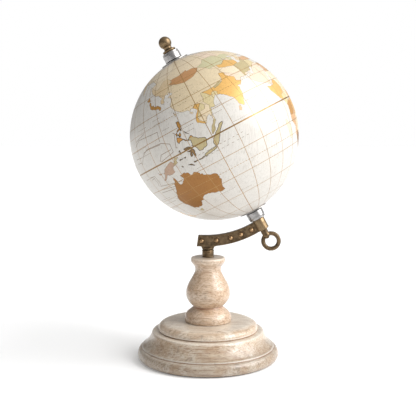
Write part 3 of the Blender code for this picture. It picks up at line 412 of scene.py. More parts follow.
LAND = {
    "eurasia": """190 66.1, 183 68.5, 180 68.9, 176 69.8, 170.5 69.7, 161 69.5, 152 70.9, 140 72.5, 133 71.5,
        129 71.2, 127 73.3, 113.5 73.8, 112 76.2, 104.3 77.7, 98 76.3, 87 75.1, 80.5 73.3, 80 72, 75 72.6,
        72.5 72.8, 69 72.9, 68 71.5, 67 69, 60.5 69.5, 55 68.5, 48 67.7, 44.2 68, 43.5 66.3, 40 64.6,
        37.5 64, 34.5 64.5, 33 66.7, 41 66.8, 40.5 67.8, 33 69.3, 28 71, 20 70, 15.5 68.6, 13 66, 10.5 64,
        5.5 62, 5 59.5, 7 58, 10.5 59.3, 11.8 57.5, 13 55.5, 14.3 55.5, 16.5 57, 17.5 59, 18.8 60,
        17.2 61.5, 21 63.8, 21.8 65.5, 24.5 65.8, 25.3 65, 21.4 62.8, 21.5 61, 23 59.9, 28 60.5, 29.5 59.9,
        24 59.3, 23.5 58, 21.5 57.3, 21 55.3, 19 54.4, 14 53.9, 11 54.2, 10.8 57.5, 8.3 57, 8.3 55,
        8.5 53.8, 5 53, 3.3 51.3, 1.6 50.5, -1.6 49.6, -2 48.7, -4.7 48.4, -2 47.2, -1.2 45.5, -1.6 43.4,
        -8 43.7, -9.2 43, -8.8 40, -9.4 38.7, -8.9 37, -6.3 36.7, -5.6 36.1, -2 36.8, -0.5 38.3, 0.6 40.7,
        3.2 42, 3.3 43.2, 6 43.1, 9 44.4, 10.3 43, 12.3 41.7, 15.6 40, 15.7 38, 17 39, 16.9 40.4,
        18.5 40.1, 16 41.5, 14 42.6, 12.3 44.3, 13.7 45.7, 15 44.2, 19.3 42, 19.5 40.5, 21.3 38.3,
        21.7 36.9, 23.2 36.5, 23.2 38, 24 38, 22.8 39.5, 23.5 40.3, 26 40.8, 26.3 39.5, 27 37.5,
        28.5 36.6, 30.7 36.8, 34 36.2, 36 36.8, 35.8 35, 34.8 32, 34.2 31.3, 32.5 31.2, 32.5 29.8,
        34.2 27.8, 34.9 29.4, 35.2 28, 37 25, 39 21.5, 41.5 18, 42.7 15.5, 43.4 12.7, 45 12.8, 48.5 14,
        52 15.8, 55 17, 57.8 19, 59.8 22.4, 57 24, 56.3 26.2, 54 24.2, 51.6 24.3, 51.3 26, 50.2 26.6,
        48.5 28.5, 48 30, 50 30.2, 51.5 27.8, 54.5 26.6, 57 27, 57.3 25.7, 61.6 25.2, 66.5 25.4,
        67.5 23.9, 69 22.2, 70.4 20.9, 72.6 21.7, 72.8 19, 73.5 16, 74.8 13, 76.3 9.8, 77.5 8.1, 78.2 9,
        79.8 10.3, 80.2 13.2, 80.3 15.6, 82.3 16.7, 85 19.6, 87 21.4, 89 21.8, 90.5 22.5, 92 21, 94.3 18,
        94.4 16, 95.5 15.8, 97.3 16.8, 97.7 15, 98.7 12, 98.4 9.5, 98.3 8, 100.3 6, 101.3 3, 103.4 1.4,
        104.2 1.4, 103.4 4, 102 6.3, 100.6 7.2, 99.3 9.3, 99.3 11.5, 100.2 13.4, 101 13, 102.3 12.2,
        103.3 10.7, 104.8 8.7, 106.7 10.3, 109.2 11.7, 109.3 13.5, 108.3 16, 106.5 17.9, 105.7 19,
        106.7 20.5, 108.5 21.7, 110 21.3, 110.3 20.3, 111 21.5, 114 22.3, 116.7 23.3, 119 25.3,
        120 26.7, 121.8 29, 121.9 30.9, 120.2 33.5, 119.3 35, 120.5 36.1, 122.5 37, 120.9 37.8, 119 37.5,
        117.7 38.8, 119.5 39.8, 121.2 40.8, 121.5 39, 124.3 40, 125.2 38, 126.5 37.5, 126.3 35,
        127.5 34.6, 129.3 35.3, 129.4 37, 127.5 39.3, 129.8 41.2, 131 42.6, 133 42.8, 135.5 44.2,
        138.5 47, 140.5 50, 141 53, 138 54, 135.3 54.7, 138 56.5, 142.5 59.3, 149 59.5, 155 59.3,
        156.8 61.7, 160 61.8, 163.5 62.4, 160.5 60.5, 157 58, 155.7 54, 156.7 51, 158.5 53, 160.2 55,
        162 56.2, 162.5 58.2, 165 60, 170 60, 174 62, 179.3 62.5, 177.5 64.7, 181 65.2, 187 64.4""",
    "africa": """32.4 31.3, 29 30.9, 25 31.6, 21.5 32.9, 20 31, 15.3 32.3, 11 33.5, 10.3 34, 11 37, 10 37.3,
        5 36.8, 0 36, -2 35.1, -5.9 35.8, -7 33.8, -9.8 31.4, -10 29.5, -13 27.8, -15 24.5, -17 21,
        -16.3 18.5, -17.5 14.7, -16.7 12.4, -15 10.8, -13.2 8.8, -11.4 6.8, -7.7 4.4, -4 5.2, 1.2 6,
        4.4 6.3, 6 4.3, 8.5 4.6, 9.6 3.8, 9.3 1, 8.8 -0.7, 11 -3.8, 12.2 -6, 13.3 -9, 13.8 -11,
        12.3 -15, 11.8 -17.8, 14.4 -22.5, 15.2 -26.8, 18.2 -32, 18.4 -34.2, 20 -34.8, 25.6 -34,
        28.5 -32.7, 31 -29.8, 32.8 -28, 32.9 -26, 35.3 -24.2, 35.5 -22.3, 34.8 -19.8, 38 -17.2,
        40.6 -15, 40.5 -10.6, 39.3 -8, 39.2 -6, 38.9 -4.9, 40.2 -2.6, 42.5 -0.2, 46 2.5, 48 5, 50.8 9.3,
        51.2 11.9, 47 11.2, 43.3 11.5, 42.7 13, 39.7 15.1, 38.6 18, 37.2 19.5, 37 21.5, 35.6 24,
        33.9 26.7, 32.5 29.9""",
    "australia": """113.7 -22.6, 114.1 -21.8, 116.7 -20.6, 119 -20, 121.5 -18.9, 122.2 -18.2, 122.3 -17.2,
        123.6 -17.4, 123.6 -16.3, 125.2 -14.8, 126.8 -14, 128.2 -14.9, 129.6 -14.9, 130.2 -13, 130.9 -12.3,
        132.6 -12.1, 132.6 -11.4, 135.2 -12.2, 136.8 -12.1, 136 -13.5, 135.5 -14.9, 137.5 -16,
        139.2 -17.4, 140.8 -17.5, 141.5 -15, 141.6 -12.6, 142.5 -10.7, 143.4 -12.6, 143.6 -14.4,
        145.3 -15, 146 -17.5, 147.5 -19.5, 149.2 -20.9, 150.8 -23.3, 153 -25.3, 153.5 -28.2, 152.6 -32,
        151.3 -33.7, 150 -37.3, 147.5 -38, 146.3 -39, 144.8 -38, 143.5 -38.7, 140.8 -38, 139.7 -36.5,
        138.5 -35.6, 138 -34.3, 137.4 -35.1, 137.2 -33.9, 136 -34.8, 134.2 -32.8, 131.3 -31.5, 129 -31.7,
        126 -32.3, 124 -33.4, 121.5 -33.8, 118.3 -34.9, 115.2 -34.3, 115.7 -31.8, 114.2 -28.5,
        113.3 -26.2, 114.1 -25.5, 113.5 -24""",
    "north_america": """192 65.6, 197 66.5, 194 68.3, 203.5 71.3, 219 69.6, 231 70, 237 69, 245 68,
        252 68, 264 68.5, 265.5 71.8, 268 69, 274.5 69.5, 278.5 67, 273 64.5, 266 61, 265.5 58.8, 268 57,
        278 55, 280 51.5, 281 53, 281.5 56, 283 58, 282 60, 282.3 62.4, 290 61.2, 295.4 60.3, 298 57.5,
        304.5 52.2, 293.5 50.2, 291 48.8, 295.8 49, 295.5 47, 299 46, 294 44.5, 290 43.8, 289.3 42,
        286 40.6, 284.5 38, 284.3 35.3, 281.5 33.8, 278.7 31, 280 27, 279.7 25.2, 278.2 26.7, 277.2 29,
        275 30, 270.5 30.2, 270.9 29.2, 265.3 29.5, 262.6 27.7, 262.3 22.5, 264 19, 265.5 18.1,
        269 18.7, 269.7 21, 273.2 21.5, 272 18.2, 271.5 15.9, 276.8 15.9, 276.3 11.5, 278.2 9,
        280.5 9.5, 282.8 8.6, 282 8, 280 8.3, 277.5 8.3, 274.2 10.2, 272.5 13, 267 14.5, 265 16.2,
        260 17, 254.5 20, 254.6 22.5, 250.5 26, 247 31, 245.5 30, 247.5 28, 250.3 23.2, 247.5 24.8,
        245.8 27.8, 244.2 30, 243 32.5, 239.5 34.5, 237.5 37.8, 235.7 40.4, 236 46, 235.3 48.4, 237.2 49,
        232 51, 229.7 54.5, 226.5 58.2, 220 59.8, 214 60.8, 208.5 60, 207.5 61, 202 58.5, 195.5 55,
        200 57.5, 202.5 59, 198 59, 195 61, 195.5 63, 199 64.2, 192 64.6""",
    "south_america": """282.8 8.6, 284.5 10.8, 288 12.2, 290 11.5, 298 10.7, 303 6, 308.5 4.3, 310 0,
        315 -2.5, 320 -3, 324.8 -5.5, 325 -8, 321 -13, 320.5 -18, 318 -22.8, 314 -24, 311.3 -28.5,
        307 -34, 303.5 -34.8, 302 -37, 298 -39, 295 -41, 296 -42.5, 292.5 -46, 294 -48, 291 -51.5,
        291.5 -53, 294.5 -54.8, 288 -54, 285.5 -51, 284.5 -46.5, 286.5 -41.5, 286.7 -37, 288.5 -31,
        289.8 -22, 289.5 -18.4, 283.8 -14, 280.5 -7, 278.8 -4.8, 279.8 -2.5, 280 0.8, 282.7 4, 282.5 7""",
    "greenland": """287 78, 293 80.5, 300 82, 325 83.5, 338 82.5, 341 79, 340 75, 338 72, 337 70, 329 68,
        320 65.5, 317 60, 311.5 61, 308.5 64, 306.5 67.5, 305.5 70.5, 303 74, 297 76""",
    "madagascar": """49.3 -12, 50.5 -15.5, 49.5 -17.5, 47.2 -24.9, 45 -25.5, 43.6 -23.4, 44.4 -20,
        44.3 -16.6, 46.5 -15.7""",
    "sri_lanka": "79.8 9.6, 81.2 8.5, 81.8 7, 80.5 5.9, 79.9 7",
    "new_guinea": """131 -0.8, 134 -0.8, 134.9 -3.2, 137.8 -1.5, 141 -2.6, 144.5 -3.8, 145.8 -5.4, 147.8 -6.1,
        147 -6.9, 148.3 -8.6, 150.8 -10.3, 149.8 -10.7, 147.2 -9.6, 144.7 -7.7, 143.4 -9, 141 -9.1,
        138 -8.3, 138.5 -7, 137.8 -5.3, 135 -4.4, 132.8 -4, 133 -2.5, 131.2 -1.5""",
    "new_britain": "148.4 -5.7, 150.5 -5.5, 152.2 -4.2, 151.8 -5.6, 150 -6.3",
    "taiwan": "121.6 25.2, 121 22, 120.1 23",
    "hainan": "108.7 19.2, 110.5 20.1, 111 19.6, 109.7 18.2",
    "honshu": """141.4 41.4, 141.9 39.5, 141 38, 140.7 35.8, 138.8 34.7, 136.9 34.3, 135.8 33.5, 134.2 33.4,
        132.5 33, 131.8 31.5, 130.7 31.1, 130 32.7, 130.7 33.9, 132 34.9, 133.2 35.6, 136 35.7,
        137 37.4, 138.5 37.3, 139.8 38.8, 140 40.5""",
    "hokkaido": "141.7 45.4, 143.8 44.2, 145.4 43.3, 143.3 42.1, 141 41.9, 140.2 42.3, 141.3 43.3",
    "sakhalin": "142 46, 143.5 49, 143.2 51.5, 143 54.2, 142.3 53.5, 142 51, 142.1 48.5",
    "tasmania": "144.7 -40.8, 148.3 -40.9, 148 -42.8, 146.8 -43.6, 145.4 -42.3",
    "new_zealand_north": """172.8 -34.5, 175.5 -36.7, 178.5 -37.7, 177 -39.5, 175.3 -41.6, 174 -39.3,
        174.8 -37.8""",
    "new_zealand_south": """172.7 -40.6, 174.2 -41.7, 172.8 -43.8, 170.8 -45.8, 168.4 -46.6, 166.5 -45.9,
        168.5 -44, 171.2 -42.2""",
    "britain": """-5.5 50.1, 1.4 51.2, 1.7 52.7, 0.2 53.3, -1.5 55, -2 57.5, -3 58.6, -5 58.5, -5.7 56.5,
        -4.8 54.8, -3 54, -4.5 53.3, -4.2 52.2, -5.2 51.8, -3 51.4""",
    "ireland": "-6 52.2, -6 54, -7.4 55.3, -10 54, -10 51.7",
    "iceland": "-22.5 66.4, -16 66.5, -13.6 65, -18.7 63.4, -22.7 63.8, -24.3 65.5",
    "sicily": "12.5 38, 15.5 38.2, 15.1 36.7",
    "sardinia": "8.3 41, 9.7 41, 9.5 39.1, 8.5 39",
    "cyprus": "32.3 35, 34.5 35.7, 33.8 34.7",
    "svalbard": "11 79.5, 20 80.3, 27 80, 18 77.5, 16 76.6",
    "novaya_zemlya": "52 71, 56 73.5, 61 75.8, 68.5 76.9, 61 75, 57 72.5, 57.5 70.7",
    "baffin": "279 73.5, 291 70.5, 298 66.5, 295 63, 291 62.8, 286.5 65, 287 68, 279.5 69.8, 271 73",
    "victoria": "243 69.5, 257 69, 256 72.8, 242 72.8",
    "ellesmere": "270 77, 283 77.5, 298 82.5, 285 83, 268 80.5",
    "banks": "235 71.5, 240 73, 237 74.3, 235 73.5",
    "newfoundland": "300.8 47.7, 307 47, 304.5 49.7, 302.8 51.5",
    "cuba": "275.2 22, 279 23, 285.6 20.3, 282.5 19.9, 281 21.5",
    "hispaniola": "285.6 18.5, 287 19.9, 291.5 18.7, 288.5 18",
}
# These have a strong dark outline.
ISLANDS = {
    "sumatra": """95.3 5.6, 97.5 5.2, 100.4 2.3, 103.5 0, 106 -3, 105.8 -5.8, 104.5 -5.9, 102.3 -4, 100.4 -1,
        98.7 1.7, 96.5 3.7""",
    "java": """105.3 -6.8, 106.2 -6, 108.6 -6.7, 110.9 -6.4, 112.7 -6.9, 114.5 -7.8, 114.4 -8.7, 111 -8.3,
        108 -7.8, 106.4 -7.4""",
    "borneo": """109 1.5, 109.7 2, 111.3 2.6, 113.2 3.3, 115 5, 116.8 7, 119.2 5.3, 117.8 4.2, 118 2.3,
        119 0.9, 117.5 0.3, 116.5 -1.8, 116 -3.9, 114.6 -4.1, 111.8 -3.5, 110.2 -2.9, 109.1 -0.3""",
    "sulawesi": """119.8 0.3, 120.8 1.3, 124.8 1.5, 124 0.4, 120.5 0.5, 120.2 -0.8, 121.5 -1, 123.4 -0.9,
        121.5 -1.9, 122.5 -3.3, 122.6 -4.7, 121.5 -4.7, 121 -2.7, 120.4 -3, 120.4 -5.5, 119.5 -5.5,
        119.3 -3.5, 118.8 -2.7""",
    "luzon": """120.6 18.5, 122.2 18.4, 122.2 16.3, 121.6 14.3, 124 13, 123.9 12.6, 121 13.6, 120.1 14.8,
        119.8 16.3""",
    "mindanao": "125.5 9.8, 126.5 7.5, 125.7 5.8, 124 6.8, 122 7, 123.4 8.7",
    "samar": "124.3 12.5, 125.5 12, 125.2 10.2, 124.4 11",
    "panay": "122 11.8, 123.4 10.9, 123.2 9.1, 122.4 9.8, 122 10.6",
    "palawan": "117.2 8.3, 119.5 11.3, 119.2 10.3, 117.5 8.7",
    "halmahera": "127.5 2, 128.6 1.5, 128 0.5, 128.3 -0.7, 127.7 0",
    "seram": "127.9 -3.2, 130.8 -3.2, 130.6 -3.8, 128.2 -3.5",
    "flores": "119.8 -8.4, 122.8 -8.2, 122.7 -8.7, 119.9 -8.9",
    "sumbawa": "116.8 -8.5, 119 -8.3, 118.9 -8.8, 117 -9.1",
    "bali": "114.9 -8.2, 116.6 -8.4, 116.3 -8.9, 115 -8.8",
    "timor": "123.5 -10.3, 125 -8.7, 127.2 -8.4, 125.4 -9.4, 124 -10.4",
    "sulu": "118.9 4.9, 121.3 6.5, 122.3 7.1, 121.6 6, 119.6 4.7",
    "buru": "126 -3.1, 127.2 -3.1, 127 -3.8, 126.1 -3.7",
    "cebu": "123.2 9.5, 124 11.2, 124.2 10.6, 123.6 9.3",
    "mindoro": "120.3 13.5, 121.5 13.3, 121.2 12.2, 120.8 12.4",
    "tanimbar": "131 -7.4, 131.8 -7.2, 131.4 -8.2, 130.9 -8.1",
}
WATER = {
    "black_sea": """28 42, 28.7 44, 30.8 46.5, 33 46, 33.5 44.5, 35.5 45.2, 39 47.1, 38 46, 37.5 45, 41.5 42,
        38 41, 35 42, 31.5 41.2, 29 41.3""",
    "caspian": """50 44.7, 47.5 45.6, 49 46.6, 53 46.8, 52.8 45.3, 51 44.5, 50.6 43.8, 52.9 42, 53 40,
        53.9 37, 51 36.8, 49 37.6, 48.9 38.4, 50.3 40.3, 47.6 42.8, 47 44""",
    "aral": "58.3 45, 60 46.5, 61.5 45.5, 59.5 43.8",
    "superior": "268 46.8, 272 48.6, 275.5 46.6, 272 46.5",
    "huron": "272.3 42, 272.6 44.5, 275 45.8, 279 44.7, 277 43.2, 275.5 45, 273.8 43.6, 273.5 42",
    "lake_victoria": "31.8 -0.5, 33 0.3, 34.2 -0.2, 33 -2.5",
}

# Ink colours from 0 to 255, and how metallic each ink is
INKS = {
    "beige": (224, 206, 174, 0.0),
    "dun": (220, 202, 168, 0.05),
    "cream": (228, 212, 184, 0.0),
    "blush": (228, 206, 182, 0.0),
    "sand": (220, 196, 156, 0.1),
    "olive": (198, 192, 152, 0.0),
    "khaki": (186, 170, 126, 0.1),
    "straw": (214, 198, 152, 0.1),
    "rose": (186, 154, 130, 0.0),
    "gold": (228, 180, 102, 0.32),
    "orange": (204, 150, 78, 0.45),
    "copper": (204, 152, 100, 0.4),
    "bronze": (158, 108, 50, 0.5),
    "peach": (220, 176, 130, 0.3),
    "dark": (78, 62, 40, 0.5),
    "brown": (128, 100, 66, 0.5),
    "line": (132, 104, 70, 0.3),
    "paper": (215, 211, 204, 0.0),
}
# Countries and regions. Each is cut to the land below it, and later ones lie over earlier ones.
REGIONS = [
    ("manchuria", "sand", """116 49.8, 120 53, 125 53, 131 48, 135 48.5, 141 53, 141 46, 131 42, 124 39,
        118 41"""),
    ("china", "dun", """73.7 39.5, 80.2 42.3, 82.5 45.5, 87.5 49, 91 45.2, 96.5 42.7, 105 41.6, 112 43.5,
        119.8 46.7, 121 42, 124.3 40, 124 30, 121 24, 112 17, 108 21.4, 105.5 23, 102 22, 99.5 22.2, 98.5 28,
        92 27.8, 86 28, 79 31, 78.5 34.5, 74.5 37"""),
    ("kazakhstan", "olive", """47 50, 52 51.7, 60 50.8, 62 54, 71 54.3, 77 54, 80 51, 87.3 49.1, 82.5 45.5,
        80.2 42.3, 71 42.5, 68 41.2, 61 44.5, 56 45, 56 41.3, 52.5 42, 50 44, 48 46.5, 47 48"""),
    ("mongolia", "copper", """88 49, 92 50.7, 98.3 50.5, 98.3 52, 102 51.3, 107 50, 114 50.2, 116.7 49.8,
        115.5 48, 119.8 46.7, 116 45.5, 112 43.5, 105 41.6, 96.5 42.7, 91 45.2, 88 47.8"""),
    ("turkestan", "gold", """56 41.3, 58.5 43, 61 44.5, 68 41.5, 73 42.4, 73 39.5, 68 37.5, 61 36,
        54 37.3, 52.5 41"""),
    ("iran", "khaki", """44.5 39.5, 48.5 38.4, 54 37.3, 61 36, 61 31, 61.6 25, 57 25, 50 28.5,
        47.5 30.5, 45.5 34"""),
    ("arabia", "blush", """34.5 32, 37 32.5, 39 32, 42 31.2, 47 29.2, 49 28, 60 27, 61 20, 50 12, 41 12,
        34 28"""),
    ("levant", "straw", "35 37, 42 37.2, 45 36.5, 48 30, 46.5 29.1, 42 31.2, 39 32, 37 32.5, 34.5 31, 34 34"),
    ("anatolia", "peach", """25.8 41, 28.5 42.3, 36 42.5, 42 42, 44.7 39.7, 44.3 37.2, 36 36.5, 30 35.5,
        25.8 36.3"""),
    ("afghanistan", "cream", "61 36, 66.5 37.6, 71 38, 75 37, 75 34, 70 31.5, 66.5 29.5, 61 29.5"),
    ("pakistan", "blush", """61.5 29.5, 66.5 29.5, 70 31.5, 74 34, 74.5 32, 73 30, 70 28, 71 24.5,
        67 23, 61.5 24.5"""),
    ("india", "gold", """68.2 23.7, 71 25, 70 28, 73 30, 74.5 32, 74 34.5, 78 35.5, 79 31, 80.5 28.8, 84 27.4,
        88 26.8, 88.2 28, 92 27.8, 97.3 28.2, 95 26, 94 23.8, 92.6 23.7, 91.5 25.1, 89.8 25.4, 88.2 24.3,
        88.8 21, 83 14, 81 9, 79.5 9, 78 6, 66 17, 67 23"""),
    ("nepal", "khaki", "80.5 28.8, 82 30.2, 88.2 28, 88 26.6, 84 27.4"),
    ("bengal", "straw", "88.2 24.3, 89.8 25.4, 91.5 25.1, 92.6 23.7, 92.5 21, 90 21, 88.8 21.2"),
    ("burma", "straw", """92.3 21, 93.5 24, 95 26, 97.3 28.2, 98.5 28, 98.5 24, 99.8 22, 97.5 18.5,
        98.8 14, 98 9, 93 15"""),
    ("siam", "beige", """97.5 18.5, 99.8 20.4, 101 17.6, 104.5 17.5, 105.5 14.4, 102.5 13.5, 103 11,
        99.5 9, 98.8 14"""),
    ("laos", "straw", "100.2 20.4, 102 22.2, 104 20.5, 107.5 15, 105.5 14.4, 104.5 17.5, 101 17.6"),
    ("cambodia", "beige", "102.5 13.5, 105.5 14.4, 107.5 14, 106 11, 103 10.5"),
    ("vietnam", "gold", """102.2 22.4, 105.5 23.3, 108.2 21.4, 110.5 14, 109 10, 104.6 8, 104.6 10.3,
        106 11.2, 107.6 12.5, 107.5 15, 105 18.5, 104 20.2"""),
    ("malaya", "khaki", "99 9, 101 7.5, 104 7, 105 1, 101 2, 97.5 8"),
    ("korea", "sand", "124.3 40, 129.8 42.3, 131 38, 129 34, 125 34"),
    ("yakutia", "cream", "105 74, 112 60, 120 56, 133 55, 140 60, 150 62, 162 67, 160 72, 130 75"),
    ("chukotka", "sand", "162 67, 160 60, 155 50, 165 58, 192 62, 192 69, 165 71"),
    ("urals", "blush", "56 52, 62 54.5, 71 54.8, 70 62, 68 69, 58 69, 52 62"),
    ("scandinavia", "khaki", "3 57, 12 55, 20 60, 30 62, 30 70, 27 72, 10 67"),
    ("france", "orange", "-6 49, 3 51.5, 8 49, 7.5 43.5, 3 42.3, -2 43.2"),
    ("iberia", "straw", "-11 44.5, -1.8 43.4, 3.3 42.4, 0 36, -10 36"),
    ("middle_europe", "peach", "6 55.5, 14.2 54.5, 19 49.5, 14 46, 8 47, 6 50"),
    ("italy", "olive", "7 46, 14 46.6, 19 41, 16 36.5, 8 43"),
    ("balkans", "gold", "13.5 46, 19 48.5, 28.8 45.5, 28.5 41.5, 23 35, 19 40"),
    ("poland", "beige", "14.2 54.8, 24 54.5, 24 50, 19 49.3, 14.5 51"),
    ("ukraine", "cream", "22 48.5, 24 51.7, 36 50.5, 40 47.5, 33 43.5, 28.5 45.2"),
    ("persia_west", "sand", "44.5 41.5, 50.5 41.8, 49.5 38.4, 48.5 38.2, 44.5 39.5"),
    ("maghreb", "sand", "-10 30, -2 32, 9 30, 12 34, 10 38, -8 37, -18 27, -12 27"),
    ("libya", "khaki", "9 30, 10 24, 24 20, 25 33, 11 34"),
    ("egypt", "peach", "25 33, 25 22, 37.5 22, 33 32"),
    ("sudan", "cream", "24 20, 22 12, 24 8, 36 5, 37 12, 39 18, 37 22, 25 22"),
    ("ethiopia", "gold", "36 14, 39.5 15, 43 12.5, 52 12.5, 49 4, 45 1, 41.8 -1.7, 41 3.5, 36 4.5, 33.5 8"),
    ("kenya", "straw", "34 4.5, 41 3.5, 41.8 -1.7, 40.5 -4.8, 34 -1"),
    ("tanzania", "orange", "30 -1, 34 -1, 40.5 -4.8, 41 -11, 34 -11.5, 30.5 -8.5"),
    ("mozambique", "peach", """30.5 -8.5, 34 -11.5, 41.5 -10.5, 41 -16, 36 -25, 32 -27, 31.5 -22,
        33 -16, 30 -15"""),
    ("sahara", "olive", "-18 21, -17 27.5, 9 30, 10 24, 22 20, 22 12, -17 12"),
    ("guinea", "orange", "-18 12, 3 12, 3 3, -9 3"),
    ("nigeria", "beige", "3 14, 14 14, 12 6, 8 3, 3 5"),
    ("congo", "gold", "12 4, 27 5, 30 -4, 29 -12, 22 -11, 12 -6, 9 0"),
    ("angola", "straw", "10 -6, 22 -7, 22 -17.5, 10 -17.5"),
    ("cape", "bronze", "16 -28.5, 20 -26, 25 -25, 31 -22.5, 33 -27, 30 -33, 20 -37, 16 -33"),
    ("madagascar_ink", "cream", "40 -10, 53 -10, 53 -28, 42 -28"),
    ("australia_ink", "bronze", "110 -10, 155 -10, 155 -40, 110 -40"),
    ("tasmania_ink", "khaki", "143 -40, 150 -40, 150 -45, 143 -45"),
    ("japan_ink", "orange", "128.9 30, 147 30, 147 46, 139.5 46, 131 36"),
    ("new_guinea_east", "rose", "136 0, 155 0, 155 -12, 136 -12"),
    ("new_guinea_west", "khaki", "129 1, 136 1, 136 -9, 129 -9"),
    ("indonesia", "khaki", "94 7, 100 6, 104 1, 108 4, 120 8, 120 -10, 94 -10"),
    ("moluccas", "brown", "118.5 3, 131.2 3, 131.2 -11, 118.5 -11"),
    ("philippines", "orange", "116 6, 128 5, 128 20, 118 20"),
    ("ceylon", "peach", "79 10, 83 10, 83 5, 79 5"),
    ("new_zealand", "gold", "165 -33, 180 -33, 180 -48, 165 -48"),
    ("alaska", "orange", "190 72, 219 72, 219 60, 230 54, 195 52"),
    ("united_states", "gold", """234 49, 265 49, 278 46, 284 45, 291 47, 294 44, 282 24, 262 25,
        254 31.5, 242 32"""),
    ("mexico", "olive", "242 32.5, 254 31.5, 262 26, 270 22, 268 14, 250 18, 240 28"),
    ("central_america", "peach", "268 17.5, 278 17, 284 8, 276 6, 266 13"),
    ("quebec", "sand", "281 45, 291 46, 306 52, 298 61, 282 63, 281 52"),
    ("greenland_ink", "cream", "284 58, 345 58, 345 85, 292 85, 284 78"),
    ("brazil", "gold", "290 2, 309 5, 327 -5, 322 -20, 312 -30, 303 -30, 302 -20, 291 -10"),
    ("argentina", "olive", "288 -22, 300 -22, 303 -30, 302 -38, 296 -56, 287 -50"),
    ("andes", "straw", "277 0, 287 0, 291 -10, 291 -20, 288 -22, 286 -18"),
    ("colombia", "peach", "281 9, 290 12, 290 2, 280 0"),
    ("chile", "copper", "286 -18, 290.5 -20, 290 -35, 287.5 -55, 283 -55"),
]

# Thin lines on the sea, as between island groups
SEA_LINES = [
    "167 17.5, 159 20.5, 138 19, 138.5 13",
    "165 5, 158 10.5, 152 12.5, 138 11.5, 132 8.5, 132 3, 144 1, 144.5 2, 141.5 5, 133 5",
    "157.5 11.5, 151.5 12, 139 11",
    "163.5 -4.5, 157.5 -5, 156.5 -9.5, 157.5 -12",
    "163 -6.5, 159 -6, 158.5 -9.5, 160 -12",
    "158.5 -12.5, 138 -15.5",
    "159.5 -15, 144.5 -17",
    "163 -17, 148 -18",
    "127 13.5, 126 13, 129 4.5, 128 4",
    "171 10, 161.5 9.5",
    "171.5 7, 164.5 6.5",
    "164 20.5, 152 22.5",
]
# Rows of short dashes where the map has small words: longitude and latitude of the first, how many,
# degrees from one to the next, and the length of each
MARKS = [
    (112, 34, 5, 3.6, 1.0), (104, 38, 6, 2.2, 0.7), (99, 31, 4, 2.8, 0.7), (110, 28, 4, 2.0, 0.6),
    (134, 27, 6, 1.1, 0.5), (133, 23.9, 7, 1.1, 0.5), (128, 18, 5, 1.3, 0.6), (148, 26, 9, 1.2, 0.6),
    (152, 14.5, 22, 1.0, 0.6), (150, 9.5, 16, 1.0, 0.6), (90, 16, 8, 1.1, 0.6), (92, 12, 8, 1.1, 0.6),
    (75, 2, 10, 1.5, 0.7), (87, -6, 12, 3.0, 1.2), (84, -9, 10, 3.6, 1.2), (60, -2, 7, 1.0, 0.5),
    (58, -4, 8, 1.0, 0.5), (60, -8, 9, 1.0, 0.5), (57, -10, 8, 1.0, 0.5), (66, 10, 8, 1.2, 0.6),
    (112, 13, 6, 1.3, 0.6), (113, 10, 5, 1.2, 0.6), (118, -13, 5, 1.2, 0.6), (138, -25, 8, 2.2, 1.2),
    (160, -5, 12, 1.0, 0.6), (160, -22, 14, 1.2, 0.6), (158, -26, 14, 1.2, 0.6), (164, -31, 12, 1.2, 0.6),
    (108, -37, 9, 1.6, 0.8), (95, -42, 8, 1.6, 0.8), (20, 0, 6, 3.0, 1.2), (200, 30, 12, 4.0, 1.6),
    (210, -20, 12, 4.0, 1.6), (240, 5, 10, 3.0, 1.2), (255, 42, 8, 3.0, 1.2), (300, -12, 6, 3.0, 1.2),
    (325, 25, 6, 2.0, 1.0), (345, -15, 8, 3.0, 1.2), (70, 60, 10, 4.0, 1.4), (130, 64, 8, 3.0, 1.2),
]


# ---------------------------------------------------------------- meshes


def flowing(points):
    """A smooth curve through the points (a Catmull-Rom spline)."""
    found = []
    last = len(points) - 1
    for i in range(last):
        p0, p1, p2, p3 = (Vector(points[min(max(k, 0), last)]) for k in range(i - 1, i + 3))
        for step in range(CURVE_STEPS):
            t = step / CURVE_STEPS
            bend = (2 * p0 - 5 * p1 + 4 * p2 - p3) * t**2 + (3 * p1 - p0 - 3 * p2 + p3) * t**3
            found.append(tuple(p1 + 0.5 * ((p2 - p0) * t + bend)))
    return found + [tuple(points[-1])]


def arc(x, z, radius, start, end, count):
    """Points on a circle, between two angles in degrees."""
    angles = [math.radians(start + (end - start) * i / count) for i in range(count + 1)]
    return [(x + radius * math.cos(a), z + radius * math.sin(a)) for a in angles]


def flipped(outline):
    """The outline upside down, and still in the same sense."""
    return [(r, -z) for r, z in reversed(outline)]


def outline_bend(outline):
    """How sharply the outline turns at each point, in radians per mm: above 0 where it stands out."""
    points = np.array(outline)
    before, after = points - np.roll(points, 1, 0), np.roll(points, -1, 0) - points
    cross = before[:, 1] * after[:, 0] - before[:, 0] * after[:, 1]
    turn = np.arctan2(cross, (before * after).sum(1))
    reach = np.maximum((np.hypot(*before.T) + np.hypot(*after.T)) / 2, LEAST_BEND_REACH)
    bend = turn / reach
    for _ in range(2):
        bend = 0.5 * bend + 0.25 * (np.roll(bend, 1) + np.roll(bend, -1))
    return bend


def piece(name, mesh, look, body, node, place=None):
    """A finished piece that rides on a body and stands for this CAD node."""
    if place is not None:
        mesh.transform(place)
    obj = bpy.data.objects.new(name, mesh)
    bpy.context.scene.collection.objects.link(obj)
    mesh.materials.clear()
    mesh.materials.append(look)
    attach(obj, body)
    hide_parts(node)


def smoothed(mesh, sharp):
    mesh.shade_smooth()
    mesh.set_sharp_from_angle(angle=math.radians(sharp))
    return mesh


